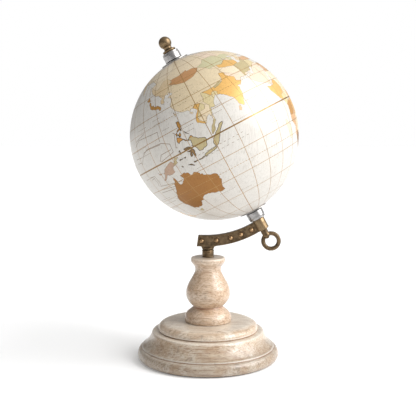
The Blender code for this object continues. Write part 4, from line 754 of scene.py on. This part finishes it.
def turned(outline, steps):
    """A turned solid about Z from a ring of (r, z) in mm, down its outer side and back up inside. A point
    with no radius becomes one vertex. "edge" holds how sharply the outline turns at each vertex, and
    "along" how far round the outline it is."""
    points = np.array(outline)
    count = len(points)
    bend = outline_bend(outline)
    lengths = np.hypot(*(np.roll(points, -1, 0) - points).T)
    along = np.concatenate([[0.0], np.cumsum(lengths)[:-1]])
    vertices, index, values = [], [], []
    for (r, z), sharp, far in zip(points, bend, along):
        ends = steps if r > 1e-6 else 1
        row = []
        for step in range(ends):
            angle = 2 * math.pi * step / steps
            row.append(len(vertices))
            vertices.append((r * MM * math.cos(angle), r * MM * math.sin(angle), z * MM))
            values.append((sharp, far))
        index.append(row * steps if ends == 1 else row)
    faces, maps = [], []
    total = along[-1] + lengths[-1]
    for i in range(count):
        j = (i + 1) % count
        if len(set(index[i])) == 1 and len(set(index[j])) == 1:
            continue
        low, high = along[i] / total, (along[i] + lengths[i]) / total
        for step in range(steps):
            other = (step + 1) % steps
            left, right = step / steps, (step + 1) / steps
            corners = {}
            for vertex, place in (
                (index[i][step], (left, low)),
                (index[j][step], (left, high)),
                (index[j][other], (right, high)),
                (index[i][other], (right, low)),
            ):
                corners.setdefault(vertex, place)
            faces.append(list(corners))
            maps.extend(corners.values())
    mesh = bpy.data.meshes.new("turned")
    mesh.from_pydata(vertices, [], faces)
    uv = mesh.uv_layers.new(name="OFBake")
    uv.data.foreach_set("uv", np.array(maps, np.float32).ravel())
    values = np.array(values, np.float32)
    mesh.attributes.new("edge", "FLOAT", "POINT").data.foreach_set("value", values[:, 0].copy())
    run = np.zeros((len(values), 3), np.float32)
    run[:, 0] = values[:, 1]
    mesh.attributes.new("along", "FLOAT_VECTOR", "POINT").data.foreach_set("vector", run.ravel())
    return smoothed(mesh, TURNED_SHARP)


def rod(radius, low, high, steps=48):
    """A plain cylinder along Z, in mm."""
    return turned([(0.0, high), (radius, high), (radius, low), (0.0, low)], steps)


def prism(outline, low, high):
    """A closed prism: an outline of (x, z) in mm, between two values of y."""
    solid = bmesh.new()
    points = [solid.verts.new((x * MM, low * MM, z * MM)) for x, z in outline]
    face = solid.faces.new(points)
    grown = bmesh.ops.extrude_face_region(solid, geom=[face])
    moved = [v for v in grown["geom"] if isinstance(v, bmesh.types.BMVert)]
    bmesh.ops.translate(solid, verts=moved, vec=(0.0, (high - low) * MM, 0.0))
    bmesh.ops.recalc_face_normals(solid, faces=solid.faces)
    mesh = bpy.data.meshes.new("prism")
    solid.to_mesh(mesh)
    solid.free()
    return mesh


def helper(mesh, place=None):
    """An object to work on, which isn't kept."""
    obj = bpy.data.objects.new("helper", mesh)
    bpy.context.scene.collection.objects.link(obj)
    if place is not None:
        obj.matrix_world = place
    return obj


def boolean(obj, operation, other):
    """Joins the other object to this one, or cuts it away, and gives it back to be removed later."""
    modifier = obj.modifiers.new(operation, "BOOLEAN")
    modifier.operation = operation
    modifier.solver = "EXACT"
    modifier.object = other
    return other


def cast(obj, voxel, rounds):
    """Melts the object's corners a little, as a casting's are."""
    remesh = obj.modifiers.new("cast", "REMESH")
    remesh.mode = "VOXEL"
    remesh.voxel_size = voxel * MM
    smooth = obj.modifiers.new("soft", "SMOOTH")
    smooth.factor = 0.5
    smooth.iterations = rounds


def settle(obj, used):
    """The object's mesh with its modifiers applied, in the row frame. All the helpers are removed."""
    bpy.context.view_layer.update()
    graph = bpy.context.evaluated_depsgraph_get()
    mesh = bpy.data.meshes.new_from_object(obj.evaluated_get(graph))
    mesh.transform(obj.matrix_world)
    for each in (obj, *used):
        bpy.data.objects.remove(each)
    return smoothed(mesh, CAST_SHARP)


# ---------------------------------------------------------------- the printed ball


def read(text):
    """A list of (longitude, latitude) from text."""
    pairs = [pair.split() for pair in text.split(",")]
    return [(float(lon), float(lat)) for lon, lat in pairs]


def copies(points):
    """The outline at each turn of longitude that reaches the map."""
    found = []
    for shift in (-360.0, 0.0, 360.0):
        lons = [lon + shift for lon, _ in points]
        if max(lons) > MAP_START and min(lons) < MAP_START + 360:
            found.append([(lon + shift, lat) for lon, lat in points])
    return found


def legs(points, closed):
    """Each step of a line, as its two ends."""
    return list(zip(points, points[1:] + points[:1] if closed else points[1:]))


def heading(start, end):
    """The way from one place to another in even degrees, and the length of a degree of longitude."""
    (lon0, lat0), (lon1, lat1) = start, end
    shrink = max(math.cos(math.radians((lat0 + lat1) / 2)), LEAST_SHRINK)
    return Vector(((lon1 - lon0) * shrink, lat1 - lat0)), shrink


def divided(points, closed):
    """The line with points added, so that every step is short enough to follow the ball."""
    found = []
    for (x0, y0), (x1, y1) in legs(points, closed):
        parts = max(1, math.ceil(math.hypot(x1 - x0, y1 - y0) / MAP_STEP))
        found.extend((x0 + (x1 - x0) * k / parts, y0 + (y1 - y0) * k / parts) for k in range(parts))
    return found if closed else [*found, points[-1]]


def strips(points, width, closed):
    """Thin quads along a line on the ball, so many mm wide."""
    half = math.degrees(width / 2 / GLOBE_RADIUS)
    found = []
    for start, end in legs(divided(points, closed), closed):
        along, shrink = heading(start, end)
        if along.length < 1e-6:
            continue
        along.normalize()
        reach = (along.x * half * STRIP_OVERLAP / shrink, along.y * half * STRIP_OVERLAP)
        side = (-along.y * half / shrink, along.x * half)
        a = (start[0] - reach[0], start[1] - reach[1])
        b = (end[0] + reach[0], end[1] + reach[1])
        found.append([
            (a[0] - side[0], a[1] - side[1]), (b[0] - side[0], b[1] - side[1]),
            (b[0] + side[0], b[1] + side[1]), (a[0] + side[0], a[1] + side[1]),
        ])
    return found


def rippled(points, seed):
    """A coastline with small bays and capes between its main points."""
    draw = random.Random(seed)
    found = []
    for start, end in legs(points, True):
        found.append(start)
        along, shrink = heading(start, end)
        cuts = min(int(along.length / RIPPLE_STEP), MOST_RIPPLES)
        for cut in range(1, cuts + 1):
            share = cut / (cuts + 1)
            off = draw.uniform(-RIPPLE, RIPPLE)
            side = Vector((-along.y, along.x)).normalized() * off
            lon = start[0] + (end[0] - start[0]) * share + side.x / shrink
            found.append((lon, start[1] + (end[1] - start[1]) * share + side.y))
    return found


def map_layers():
    """The printed areas and thin lines, each as (kind, ink, outline). Later ones lie over earlier ones."""
    coasts, inland, quads = [], [], []
    for number, (name, text) in enumerate([*LAND.items(), *ISLANDS.items()]):
        width, ink = (ISLAND_COAST_WIDTH, "dark") if name in ISLANDS else (COAST_WIDTH, "brown")
        for points in copies(read(text)):
            coasts.append((divided(rippled(points, number), True), width, ink))
    areas = [("land", "beige", shape) for shape, _, _ in coasts]
    for _, ink, text in REGIONS:
        inland.extend(("region", ink, divided(points, True)) for points in copies(read(text)))
    for text in WATER.values():
        inland.extend(("water", None, divided(points, True)) for points in copies(read(text)))

    def draw(kind, ink, points, width, closed=False):
        for quad in strips(points, width, closed):
            quads.append((kind, ink, counterclockwise(quad)))

    for _, _, points in inland:
        draw("border", "brown", points, BORDER_WIDTH, closed=True)
    for shape, width, ink in coasts:
        draw("line", ink, shape, width, closed=True)
    for text in SEA_LINES:
        for points in copies(read(text)):
            draw("line", "line", points, SEA_LINE_WIDTH)
    for lon, lat, count, step, length in MARKS:
        for start in [lon + step * k for k in range(count)]:
            for points in copies([(start, lat), (start + length, lat)]):
                draw("line", "line", points, MARK_WIDTH)
    return areas + inland, quads


def counterclockwise(outline):
    area = sum(a[0] * b[1] - b[0] * a[1] for a, b in legs(outline, True))
    return outline if area > 0 else outline[::-1]


def map_grid():
    """Points all over the map, so that the ball is round, and the edges that frame it. Rows near the
    poles have fewer points."""
    rows = [-MAP_EDGE, *range(-84, 85, 3), MAP_EDGE]
    points, edges, ends = [], [], []
    for lat in rows:
        step = 3 if abs(lat) <= 60 else 6 if abs(lat) <= 75 else 12
        first = len(points)
        points.extend((MAP_START + lon, float(lat)) for lon in range(0, 361, step))
        ends.append((first, len(points) - 1))
        if lat in (-MAP_EDGE, 0, MAP_EDGE):
            edges.extend((k, k + 1) for k in range(first, len(points) - 1))
    for (left0, right0), (left1, right1) in legs(ends, False):
        edges += [(left0, left1), (right0, right1)]
    return points, edges


def inside(outline, places):
    """Which places lie inside the outline."""
    ends = np.array(outline)
    starts = np.roll(ends, 1, axis=0)
    found = np.zeros(len(places), bool)
    x, y = places[:, 0], places[:, 1]
    for (x0, y0), (x1, y1) in zip(starts, ends):
        if y0 == y1:
            continue
        crossing = (y0 > y) != (y1 > y)
        found ^= crossing & (x < x0 + (x1 - x0) * (y - y0) / (y1 - y0))
    return found


def inked_triangles():
    """The map cut along every printed edge: (points, triangles, ink colour of each triangle)."""
    areas, quads = map_layers()
    points, edges = map_grid()
    for _, _, outline in areas:
        first, count = len(points), len(outline)
        points.extend(outline)
        edges.extend((first + k, first + (k + 1) % count) for k in range(count))
    faces = []
    for _, _, quad in quads:
        faces.append(list(range(len(points), len(points) + 4)))
        points.extend(quad)
    flat = [Vector(p) for p in points]
    verts, _, triangles, _, _, origins = delaunay_2d_cdt(flat, edges, faces, 0, 1e-5)
    verts, triangles = np.array([tuple(v) for v in verts]), np.array(triangles)
    middle = verts[triangles].mean(1)
    on_map = (middle[:, 0] > MAP_START) & (middle[:, 0] < MAP_START + 360)
    on_map &= np.abs(middle[:, 1]) < MAP_EDGE
    triangles, middle = triangles[on_map], middle[on_map]
    origins = [origin for origin, kept in zip(origins, on_map) if kept]

    colours = np.tile(PAPER, (len(triangles), 1))
    land = np.zeros(len(triangles), bool)
    for kind, ink, outline in areas:
        covered = inside(outline, middle)
        if kind == "water":
            land &= ~covered
            continue
        if kind == "land":
            land |= covered
        colours[covered] = ink_values(ink)
    colours[~land] = PAPER
    for k, origin in enumerate(origins):
        for each in sorted(origin):
            kind, ink, _ = quads[each]
            if kind == "line" or land[k]:
                colours[k] = ink_values(ink)
    return verts, triangles, colours


def ink_values(ink):
    red, green, blue, metal = INKS[ink]
    return np.array([*rgb(red, green, blue)[:3], metal], np.float32)


PAPER = ink_values("paper")


def on_ball(lonlat, radius):
    """Places on the ball, in the frame of its axis, in metres."""
    turn = np.radians(MAP_TURN - lonlat[:, 0])
    lat = np.radians(lonlat[:, 1])
    directions = [np.sin(turn) * np.cos(lat), -np.cos(turn) * np.cos(lat), np.sin(lat)]
    return np.stack(directions, 1) * radius * MM


def half_ball(verts, triangles, colours, north):
    """One half of the printed ball, as a thin closed shell with its print, map places and UVs."""
    middle = verts[triangles].mean(1)[:, 1]
    chosen = (middle > 0) if north else (middle < 0)
    triangles, colours = triangles[chosen][:, ::-1], colours[chosen]
    lonlat = verts[triangles].reshape(-1, 2)
    outer = on_ball(lonlat, GLOBE_RADIUS)
    _, first, index = np.unique(np.round(outer * 1e7), axis=0, return_index=True, return_inverse=True)
    index = index.reshape(-1, 3)
    good = (index[:, 0] != index[:, 1]) & (index[:, 1] != index[:, 2]) & (index[:, 2] != index[:, 0])
    index, colours = index[good], colours[good]
    corner = np.arange(len(lonlat)).reshape(-1, 3)[good]
    outer = outer[first]
    count = len(outer)
    inner = outer * (GLOBE_RADIUS - MAP_THICKNESS) / GLOBE_RADIUS
    sides = np.concatenate([index[:, [0, 1]], index[:, [1, 2]], index[:, [2, 0]]])
    ordered = np.sort(sides, axis=1)
    _, where, times = np.unique(ordered, axis=0, return_index=True, return_counts=True)
    rim = sides[where[times == 1]]
    walls = np.stack([rim[:, 1], rim[:, 0], rim[:, 0] + count, rim[:, 1] + count], 1)
    faces = index.tolist() + (index[:, ::-1] + count).tolist() + walls.tolist()
    mesh = bpy.data.meshes.new("half_ball")
    mesh.from_pydata(np.concatenate([outer, inner]).tolist(), [], faces)

    # The corners come in three runs: the outside, the inside, and the walls between them.
    size = len(index) * 3
    total = 2 * size + len(walls) * 4
    geo = np.zeros((total, 3), np.float32)
    geo[:size, :2] = lonlat[corner.reshape(-1)]
    geo[size:, :2] = (7.0, 7.0)  # away from every printed line
    ink = np.tile(PAPER, (total, 1))
    ink[:size] = np.repeat(colours, 3, axis=0)
    mesh.attributes.new("geo", "FLOAT_VECTOR", "CORNER").data.foreach_set("vector", geo.ravel())
    mesh.attributes.new("print", "FLOAT_COLOR", "CORNER").data.foreach_set("color", ink.ravel())

    loops = np.empty(total, np.int32)
    mesh.loops.foreach_get("vertex_index", loops)
    points = np.concatenate([outer, inner])[loops]
    radial = points / np.linalg.norm(points, axis=1, keepdims=True)
    tilt = np.arccos(np.clip(np.abs(radial[:, 2]), 0, 1)) / (math.pi / 2)
    spin = np.arctan2(radial[:, 1], radial[:, 0])
    # The outside fills the UV square, and the rest shares a small disc in its corner.
    is_outer = np.arange(total) < size
    reach = np.where(is_outer, 0.485, 0.03)
    middle = np.where(is_outer, 0.5, 0.04)
    uv = np.stack([middle + reach * tilt * np.cos(spin), middle + reach * tilt * np.sin(spin)], 1)
    if not north:
        uv[:, 0] = 1 - uv[:, 0]
    mesh.uv_layers.new(name="OFBake").data.foreach_set("uv", uv.astype(np.float32).ravel())

    mesh.shade_smooth()
    normals = radial.copy()
    normals[size:2 * size] *= -1
    normals[2 * size:] = (0.0, 0.0, -1.0 if north else 1.0)
    mesh.normals_split_custom_set(normals.tolist())
    return mesh


def make_globe(paper):
    verts, triangles, colours = inked_triangles()
    for name, north in (("map_north", True), ("map_south", False)):
        mesh = half_ball(verts, triangles, colours, north)
        piece(name, mesh, paper, "globe", "map_skin", AXIS_FRAME)


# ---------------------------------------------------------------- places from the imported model

GLOBE_CENTRE = sum(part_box("map_skin"), Vector()) / 2
AXIS_FRAME = Matrix.Translation(GLOBE_CENTRE) @ Matrix.Rotation(-AXIS_TILT, 4, "Y")
UPRIGHT = Matrix.Rotation(math.radians(90), 4, "X")  # turns Z to -Y
ARM_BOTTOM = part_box("arm")[0].z / MM
ARM_LINE = ARM_BOTTOM + ARM_RISE
FELT_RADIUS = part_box("felt_pad")[1].y / MM


def heights(node):
    """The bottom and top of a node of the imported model, in mm."""
    return [corner.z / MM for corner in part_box(node)]


# ---------------------------------------------------------------- the stand


def make_stand(wood_flat, wood_upright, brass, cloth, steel):
    inside_base = [
        (COUNTERBORE_RADIUS, BASE_UNDERSIDE), (COUNTERBORE_RADIUS, COUNTERBORE_TOP),
        (STAND_BORE, COUNTERBORE_TOP), (STAND_BORE, SOCKET_FLOOR),
        (SOCKET_RADIUS, SOCKET_FLOOR), (SOCKET_RADIUS, BASE_TOP),
    ]
    base = turned(flowing(BASE_SIDE) + inside_base, 200)
    piece("base_turned", base, wood_flat, "stand", "base")

    tenon = [(TENON_RADIUS, SPINDLE_FOOT), (TENON_RADIUS, TENON_END)]
    bore = [(STAND_BORE, TENON_END), (STAND_BORE, SPINDLE_TOP)]
    spindle = turned(flowing(SPINDLE_SIDE) + tenon + bore, 128)
    piece("spindle_turned", spindle, wood_upright, "stand", "spindle")

    ferrule = [(STAND_BORE, FERRULE_TOP), *flowing(FERRULE_SIDE), (STAND_BORE, FERRULE_BOTTOM)]
    piece("ferrule_turned", turned(ferrule, 72), brass, "stand", "stem_ferrule")

    low, high = heights("felt_pad")
    edge = [
        (0.0, high), (FELT_RADIUS - 0.5, high), (FELT_RADIUS - 0.1, high - 0.2),
        (FELT_RADIUS, (high + low) / 2), (FELT_RADIUS - 0.2, low + 0.1), (FELT_RADIUS - 0.6, low),
        (0.0, low),
    ]
    piece("felt_disc", turned(edge, 160), cloth, "stand", "felt_pad")

    low, high = heights("swivel_washer")
    washer = [
        (STAND_BORE, high), (WASHER_FLAT_RADIUS, high), (WASHER_RADIUS, high - WASHER_ROUNDING),
        (WASHER_RADIUS, low + WASHER_ROUNDING), (WASHER_FLAT_RADIUS, low), (STAND_BORE, low),
    ]
    # The ring's dark steel is painted shade for the groove it sits in.
    piece("swivel_ring", turned(washer, 64), steel, "stand", "swivel_washer")


# ---------------------------------------------------------------- the arm


def on_arm(along, across=0.0):
    """A point of the arm's plane in mm: so far along its centre line, and so far above it."""
    if along < 0:
        return (ARM_CURVE_START + along, ARM_LINE + across)
    angle = along / ARM_RADIUS
    reach = ARM_RADIUS - across
    return (ARM_CURVE_START + reach * math.sin(angle), ARM_LINE + ARM_RADIUS - reach * math.cos(angle))


def arm_outline():
    half = ARM_HALF_DEPTH
    floor = ARM_LINE - half
    ledge = ARM_BOTTOM + FLANGE_HEIGHT / 2
    fillet = NECK_FILLET
    outline = [on_arm(-ARM_HEEL + ARM_HEEL_SLANT, half), on_arm(-ARM_HEEL, -half)]
    outline += arc(-FLANGE_RADIUS - fillet, floor - fillet, fillet, 90, 0, 8)
    outline += [(-FLANGE_RADIUS, ledge), (FLANGE_RADIUS, ledge)]
    outline += arc(FLANGE_RADIUS + fillet, floor - fillet, fillet, 180, 90, 8)
    begin = FLANGE_RADIUS + fillet - ARM_CURVE_START
    end = BOSS_ANGLE * ARM_RADIUS - ARM_END_GAP
    count = 60
    outline += [on_arm(begin + (end - begin) * i / count, -half) for i in range(1, count + 1)]
    outline += [on_arm(end * (count - i) / count, half) for i in range(count + 1)]
    return outline


def panel_outline():
    """The shallow panel inside the arm's rim."""
    half = ARM_HALF_DEPTH - PANEL_MARGIN
    begin = -ARM_HEEL + ARM_HEEL_SLANT + PANEL_MARGIN
    end = BOSS_ANGLE * ARM_RADIUS - PANEL_END_GAP
    count = 60
    stations = [begin + (end - begin) * i / count for i in range(count + 1)]
    return [on_arm(s, -half) for s in stations] + [on_arm(s, half) for s in reversed(stations)]


def rivet_places():
    """Each rivet's frame: its own Z runs through the arm, along -Y."""
    found = []
    for station in RIVET_STATIONS:
        x, z = on_arm(station)
        found.append(Matrix.Translation((x * MM, 0.0, z * MM)) @ UPRIGHT)
    return found


def make_arm(brass):
    face = ARM_HALF_THICKNESS
    arm = helper(prism(arm_outline(), -face, face))
    used = []

    def shape(operation, mesh, place=None):
        used.append(boolean(arm, operation, helper(mesh, place)))

    def both_faces(depth):
        """From this deep in each face to 1 mm outside it."""
        return (-face - 1, -face + depth), (face - depth, face + 1)

    shape("UNION", rod(FLANGE_RADIUS, ARM_BOTTOM, ARM_BOTTOM + FLANGE_HEIGHT, 72))
    for low, high in both_faces(PANEL_DEPTH):
        shape("DIFFERENCE", prism(panel_outline(), low, high))
    for place in rivet_places():
        for low, high in both_faces(RIVET_RECESS_DEPTH + PANEL_DEPTH):
            shape("DIFFERENCE", rod(RIVET_RECESS_RADIUS, low, high, 40), place)
    cast(arm, voxel=0.16, rounds=3)
    shape("DIFFERENCE", rod(BOSS_SEAT_RADIUS, BOSS_SEAT_LOW, BOSS_SEAT_HIGH, 72), AXIS_FRAME)
    shape("DIFFERENCE", rod(ARM_BORE, ARM_BOTTOM - 1, ARM_BOTTOM + ARM_BORE_DEPTH))
    for place in rivet_places():
        shape("DIFFERENCE", rod(RIVET_HOLE, -RIVET_DRILL_REACH, RIVET_DRILL_REACH, 32), place)
    piece("arm_cast", settle(arm, used), brass, "arm", "arm")


def make_rivets(look):
    seat = ARM_HALF_THICKNESS - RIVET_RECESS_DEPTH - PANEL_DEPTH + RIVET_GAP
    rise = ARM_HALF_THICKNESS + RIVET_RISE - seat
    dome = [(RIVET_RADIUS * r, seat + rise * z) for r, z in arc(0.0, 0.0, 1.0, 90, 0, 10)]
    dome[0] = (0.0, dome[0][1])
    upper = dome + [(RIVET_SHANK, seat)]
    for number, place in enumerate(rivet_places(), start=1):
        mesh = turned(upper + flipped(upper), 36)
        piece(f"rivet_{number}", mesh, look, "arm", f"arm_rivet_{number}", place)


# ---------------------------------------------------------------- along the ball's axis


def boss_outline():
    """A sleeve with its two outer edges rounded."""
    edge = BOSS_ROUNDING
    outline = [(AXLE_BORE, BOSS_HIGH), (BOSS_RADIUS - edge, BOSS_HIGH)]
    outline += arc(BOSS_RADIUS - edge, BOSS_HIGH - edge, edge, 90, 0, 6)[1:]
    outline += arc(BOSS_RADIUS - edge, BOSS_LOW + edge, edge, 0, -90, 6)
    return outline + [(AXLE_BORE, BOSS_LOW)]


def collar_outline(high):
    """The north collar's outline, up to this height: a slightly narrower step on a wider foot."""
    step = COLLAR_RADIUS - COLLAR_STEP
    top, shoulder, foot = COLLAR_TOP_ROUNDING, COLLAR_SHOULDER_ROUNDING, COLLAR_FOOT_ROUNDING
    outline = [(AXLE_BORE, high), (step - top, high)] + arc(step - top, high - top, top, 90, 0, 4)[1:]
    outline.append((step, high - COLLAR_STEP_END))
    outline += arc(COLLAR_RADIUS - shoulder, high - COLLAR_SHOULDER, shoulder, 90, 0, 4)
    outline += arc(COLLAR_RADIUS - foot, COLLAR_LOW + foot, foot, 0, -90, 5)
    return outline + [(AXLE_BORE, COLLAR_LOW)]


def dish(radius):
    """The part of a circle about the ball's centre that a polar disc covers."""
    start, end = (math.degrees(math.acos(reach / radius)) for reach in (DISC_BORE, DISC_RADIUS))
    return arc(0.0, 0.0, radius, start, end, 24)


def make_axis_pieces(bright, nickel, plate):
    disc = dish(DISC_OUTSIDE) + dish(DISC_INSIDE)[::-1]
    for name, outline, steps, look, body, slot, node in (
        ("boss_turned", boss_outline(), 96, bright, "arm", "rubbed_brass", "arm_boss"),
        ("collar_south", flipped(collar_outline(SOUTH_COLLAR_HIGH)), 96, nickel, "arm", "nickel",
         "south_collar"),
        ("collar_north", collar_outline(NORTH_COLLAR_HIGH), 96, nickel, "arm", "nickel", "north_collar"),
        ("disc_north", disc, 120, plate, "globe", "grey_plate", "polar_disc_north"),
        ("disc_south", flipped(disc), 120, plate, "globe", "grey_plate", "polar_disc_south"),
    ):
        piece(name, turned(outline, steps), look, body, node, AXIS_FRAME)


def make_finial(look):
    ball = arc(0.0, FINIAL_BASE + FINIAL_BALL_RISE, FINIAL_BALL_RADIUS, 90, -48, 28)
    ball[0] = (0.0, ball[0][1])
    side = [ball[-1]] + [(r, FINIAL_BASE + z) for r, z in FINIAL_SIDE]
    bore_end = FINIAL_BASE + FINIAL_BORE_DEPTH
    outline = ball[:-1] + flowing(side) + [(AXLE_BORE, FINIAL_BASE), (AXLE_BORE, bore_end), (0.0, bore_end)]
    piece("finial_turned", turned(outline, 80), look, "finial", "finial", AXIS_FRAME)


def make_eye(look):
    side = [(r, EYE_TOP + z) for r, z in EYE_SIDE]
    nut = helper(turned([(0.0, EYE_TOP), *side, (0.0, side[-1][1])], 64), AXIS_FRAME)
    bpy.ops.mesh.primitive_torus_add(
        major_segments=96, minor_segments=32,
        major_radius=RING_RADIUS * MM, minor_radius=RING_WIRE_RADIUS * MM,
    )
    ring = bpy.context.object
    ring.matrix_world = AXIS_FRAME @ Matrix.Translation((RING_OFFSET * MM, 0.0, RING_HEIGHT * MM)) @ UPRIGHT
    boolean(nut, "UNION", ring)
    cast(nut, voxel=0.14, rounds=4)
    drill = helper(rod(AXLE_BORE, EYE_TOP - EYE_BORE_DEPTH, EYE_TOP + 1.0), AXIS_FRAME)
    boolean(nut, "DIFFERENCE", drill)
    piece("eye_cast", settle(nut, [ring, drill]), look, "eye_nut", "eye_nut")


# ---------------------------------------------------------------- the scene


def make_camera():
    data = bpy.data.cameras.new("camera")
    data.lens = CAMERA_LENS
    data.sensor_width = SENSOR_WIDTH
    data.clip_start = 0.01
    camera = bpy.data.objects.new("camera", data)
    bpy.context.scene.collection.objects.link(camera)
    x = CAMERA_DISTANCE * math.sin(CAMERA_AZIMUTH)
    y = -CAMERA_DISTANCE * math.cos(CAMERA_AZIMUTH)
    camera.location = (x, y, CAMERA_HEIGHT)
    camera.rotation_euler = (math.radians(90) - CAMERA_PITCH, 0.0, CAMERA_AZIMUTH)
    bpy.context.scene.camera = camera


def make_light(kind, name, towards, strength, distance=1.0, **settings):
    """A lamp that shines from this direction."""
    data = bpy.data.lights.new(name, kind)
    data.energy = strength
    for key, value in settings.items():
        setattr(data, key, value)
    lamp = bpy.data.objects.new(name, data)
    bpy.context.scene.collection.objects.link(lamp)
    back = Vector(towards).normalized()
    lamp.location = Vector(LAMP_TARGET) + back * distance
    lamp.rotation_euler = back.to_track_quat("Z", "Y").to_euler()


def make_world():
    """A soft surround that is brighter on the right and overhead. The camera sees plain white behind the
    object."""
    world = bpy.data.worlds.new("studio")
    world.use_nodes = True
    tree = world.node_tree
    link = tree.links.new

    def fade(source, low, high, to_low, to_high):
        node = tree.nodes.new("ShaderNodeMapRange")
        node.interpolation_type = "SMOOTHSTEP"
        for key, value in zip(("From Min", "From Max", "To Min", "To Max"), (low, high, to_low, to_high)):
            node.inputs[key].default_value = value
        link(source, node.inputs["Value"])
        return node.outputs["Result"]

    way = tree.nodes.new("ShaderNodeSeparateXYZ")
    link(tree.nodes.new("ShaderNodeTexCoord").outputs["Generated"], way.inputs[0])
    brightness = tree.nodes.new("ShaderNodeMath")
    link(fade(way.outputs["X"], *SKY_SIDES, SKY_LEFT, SKY_RIGHT), brightness.inputs[0])
    link(fade(way.outputs["Z"], *SKY_RISE, 0.0, SKY_TOP), brightness.inputs[1])
    sky = tree.nodes["Background"]
    shown = tree.nodes.new("ShaderNodeBackground")
    for background in (sky, shown):
        background.inputs["Color"].default_value = (1.0, 1.0, 1.0, 1.0)
    link(brightness.outputs[0], sky.inputs["Strength"])
    both = tree.nodes.new("ShaderNodeMixShader")
    link(tree.nodes.new("ShaderNodeLightPath").outputs["Is Camera Ray"], both.inputs[0])
    link(sky.outputs[0], both.inputs[1])
    link(shown.outputs[0], both.inputs[2])
    link(both.outputs[0], tree.nodes["World Output"].inputs["Surface"])
    bpy.context.scene.world = world


def make_floor():
    bpy.ops.mesh.primitive_plane_add(size=FLOOR_SIZE, location=(0.0, 0.0, 0.0))
    floor = bpy.context.object
    floor.name = "floor"
    g = Graph("floor_white", roughness=0.9)
    shade = (FLOOR_SHADE, FLOOR_SHADE, FLOOR_SHADE, 1.0)
    g.set(g.shader, {"Base Color": shade, "Emission Color": (1.0, 1.0, 1.0, 1.0)})
    g.set(g.shader, {"Emission Strength": FLOOR_GLOW, "Specular IOR Level": 0.0})
    floor.data.materials.append(g.material)


make_camera()
bpy.context.scene.view_settings.view_transform = "Standard"
make_world()
make_floor()
make_light("SUN", "key", KEY_FROM, KEY_STRENGTH, angle=KEY_ANGLE)
make_light("AREA", "softbox", SOFTBOX_FROM, SOFTBOX_STRENGTH, SOFTBOX_DISTANCE, shape="RECTANGLE",
           size=SOFTBOX_WIDTH, size_y=SOFTBOX_HEIGHT)

# The base's wood has painted shade near the floor; the spindle's wood has none.
wood_flat = limed_wood("limed_wood_flat", tone=rgb(241, 238, 232), low_shade=0.5)
wood_upright = limed_wood("limed_wood_upright", tone=rgb(240, 230, 219), low_shade=0.0)
dark_brass = aged_brass("antique_brass", rgb(80, 68, 54), rgb(156, 130, 98),
                        wear=0.9, roughness=0.4, patches=(0.1, 0.6), lines=0.3)
bright_brass = aged_brass("rubbed_brass", rgb(92, 77, 60), rgb(148, 126, 96),
                          wear=0.6, roughness=0.36, patches=(0.5, 0.8), lines=0.12)
rivet_brass = aged_brass("rivet_brass", rgb(140, 112, 84), rgb(196, 162, 122),
                         wear=0.5, roughness=0.4, patches=(0.3, 0.7), lines=0.2)
nickel = brushed_nickel("nickel", rgb(172, 170, 169), roughness=0.26)
plate = brushed_nickel("grey_plate", rgb(172, 168, 162), roughness=0.3)
steel = plain_steel("zinc_steel", rgb(176, 176, 172), rgb(140, 142, 146))
# Painted shade: the swivel ring's steel is dark brown to stand for the shade in the groove under the arm.
groove_shade_steel = plain_steel("groove_shade_steel", rgb(112, 94, 72), rgb(70, 60, 48))
cloth = felt("dark_felt")
board = pressed_board("pressed_board")
plastic = moulded_plastic("bush_plastic")
paper = printed_paper("map_paper")

make_stand(wood_flat, wood_upright, dark_brass, cloth, groove_shade_steel)
make_arm(dark_brass)
make_rivets(rivet_brass)
make_axis_pieces(bright_brass, nickel, plate)
make_finial(bright_brass)
make_eye(dark_brass)
make_globe(paper)

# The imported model's own pieces that stay inside, each with a material
carried = {
    "globe_shell_north": board, "globe_shell_south": board, "seam_band": board,
    "pole_bush_north": plastic, "pole_bush_south": plastic,
    "axle_rod": steel, "tie_rod": steel, "tie_nut": steel, "tie_washer": steel,
}
for node, look in carried.items():
    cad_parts[node].data.materials.clear()
    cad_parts[node].data.materials.append(look)
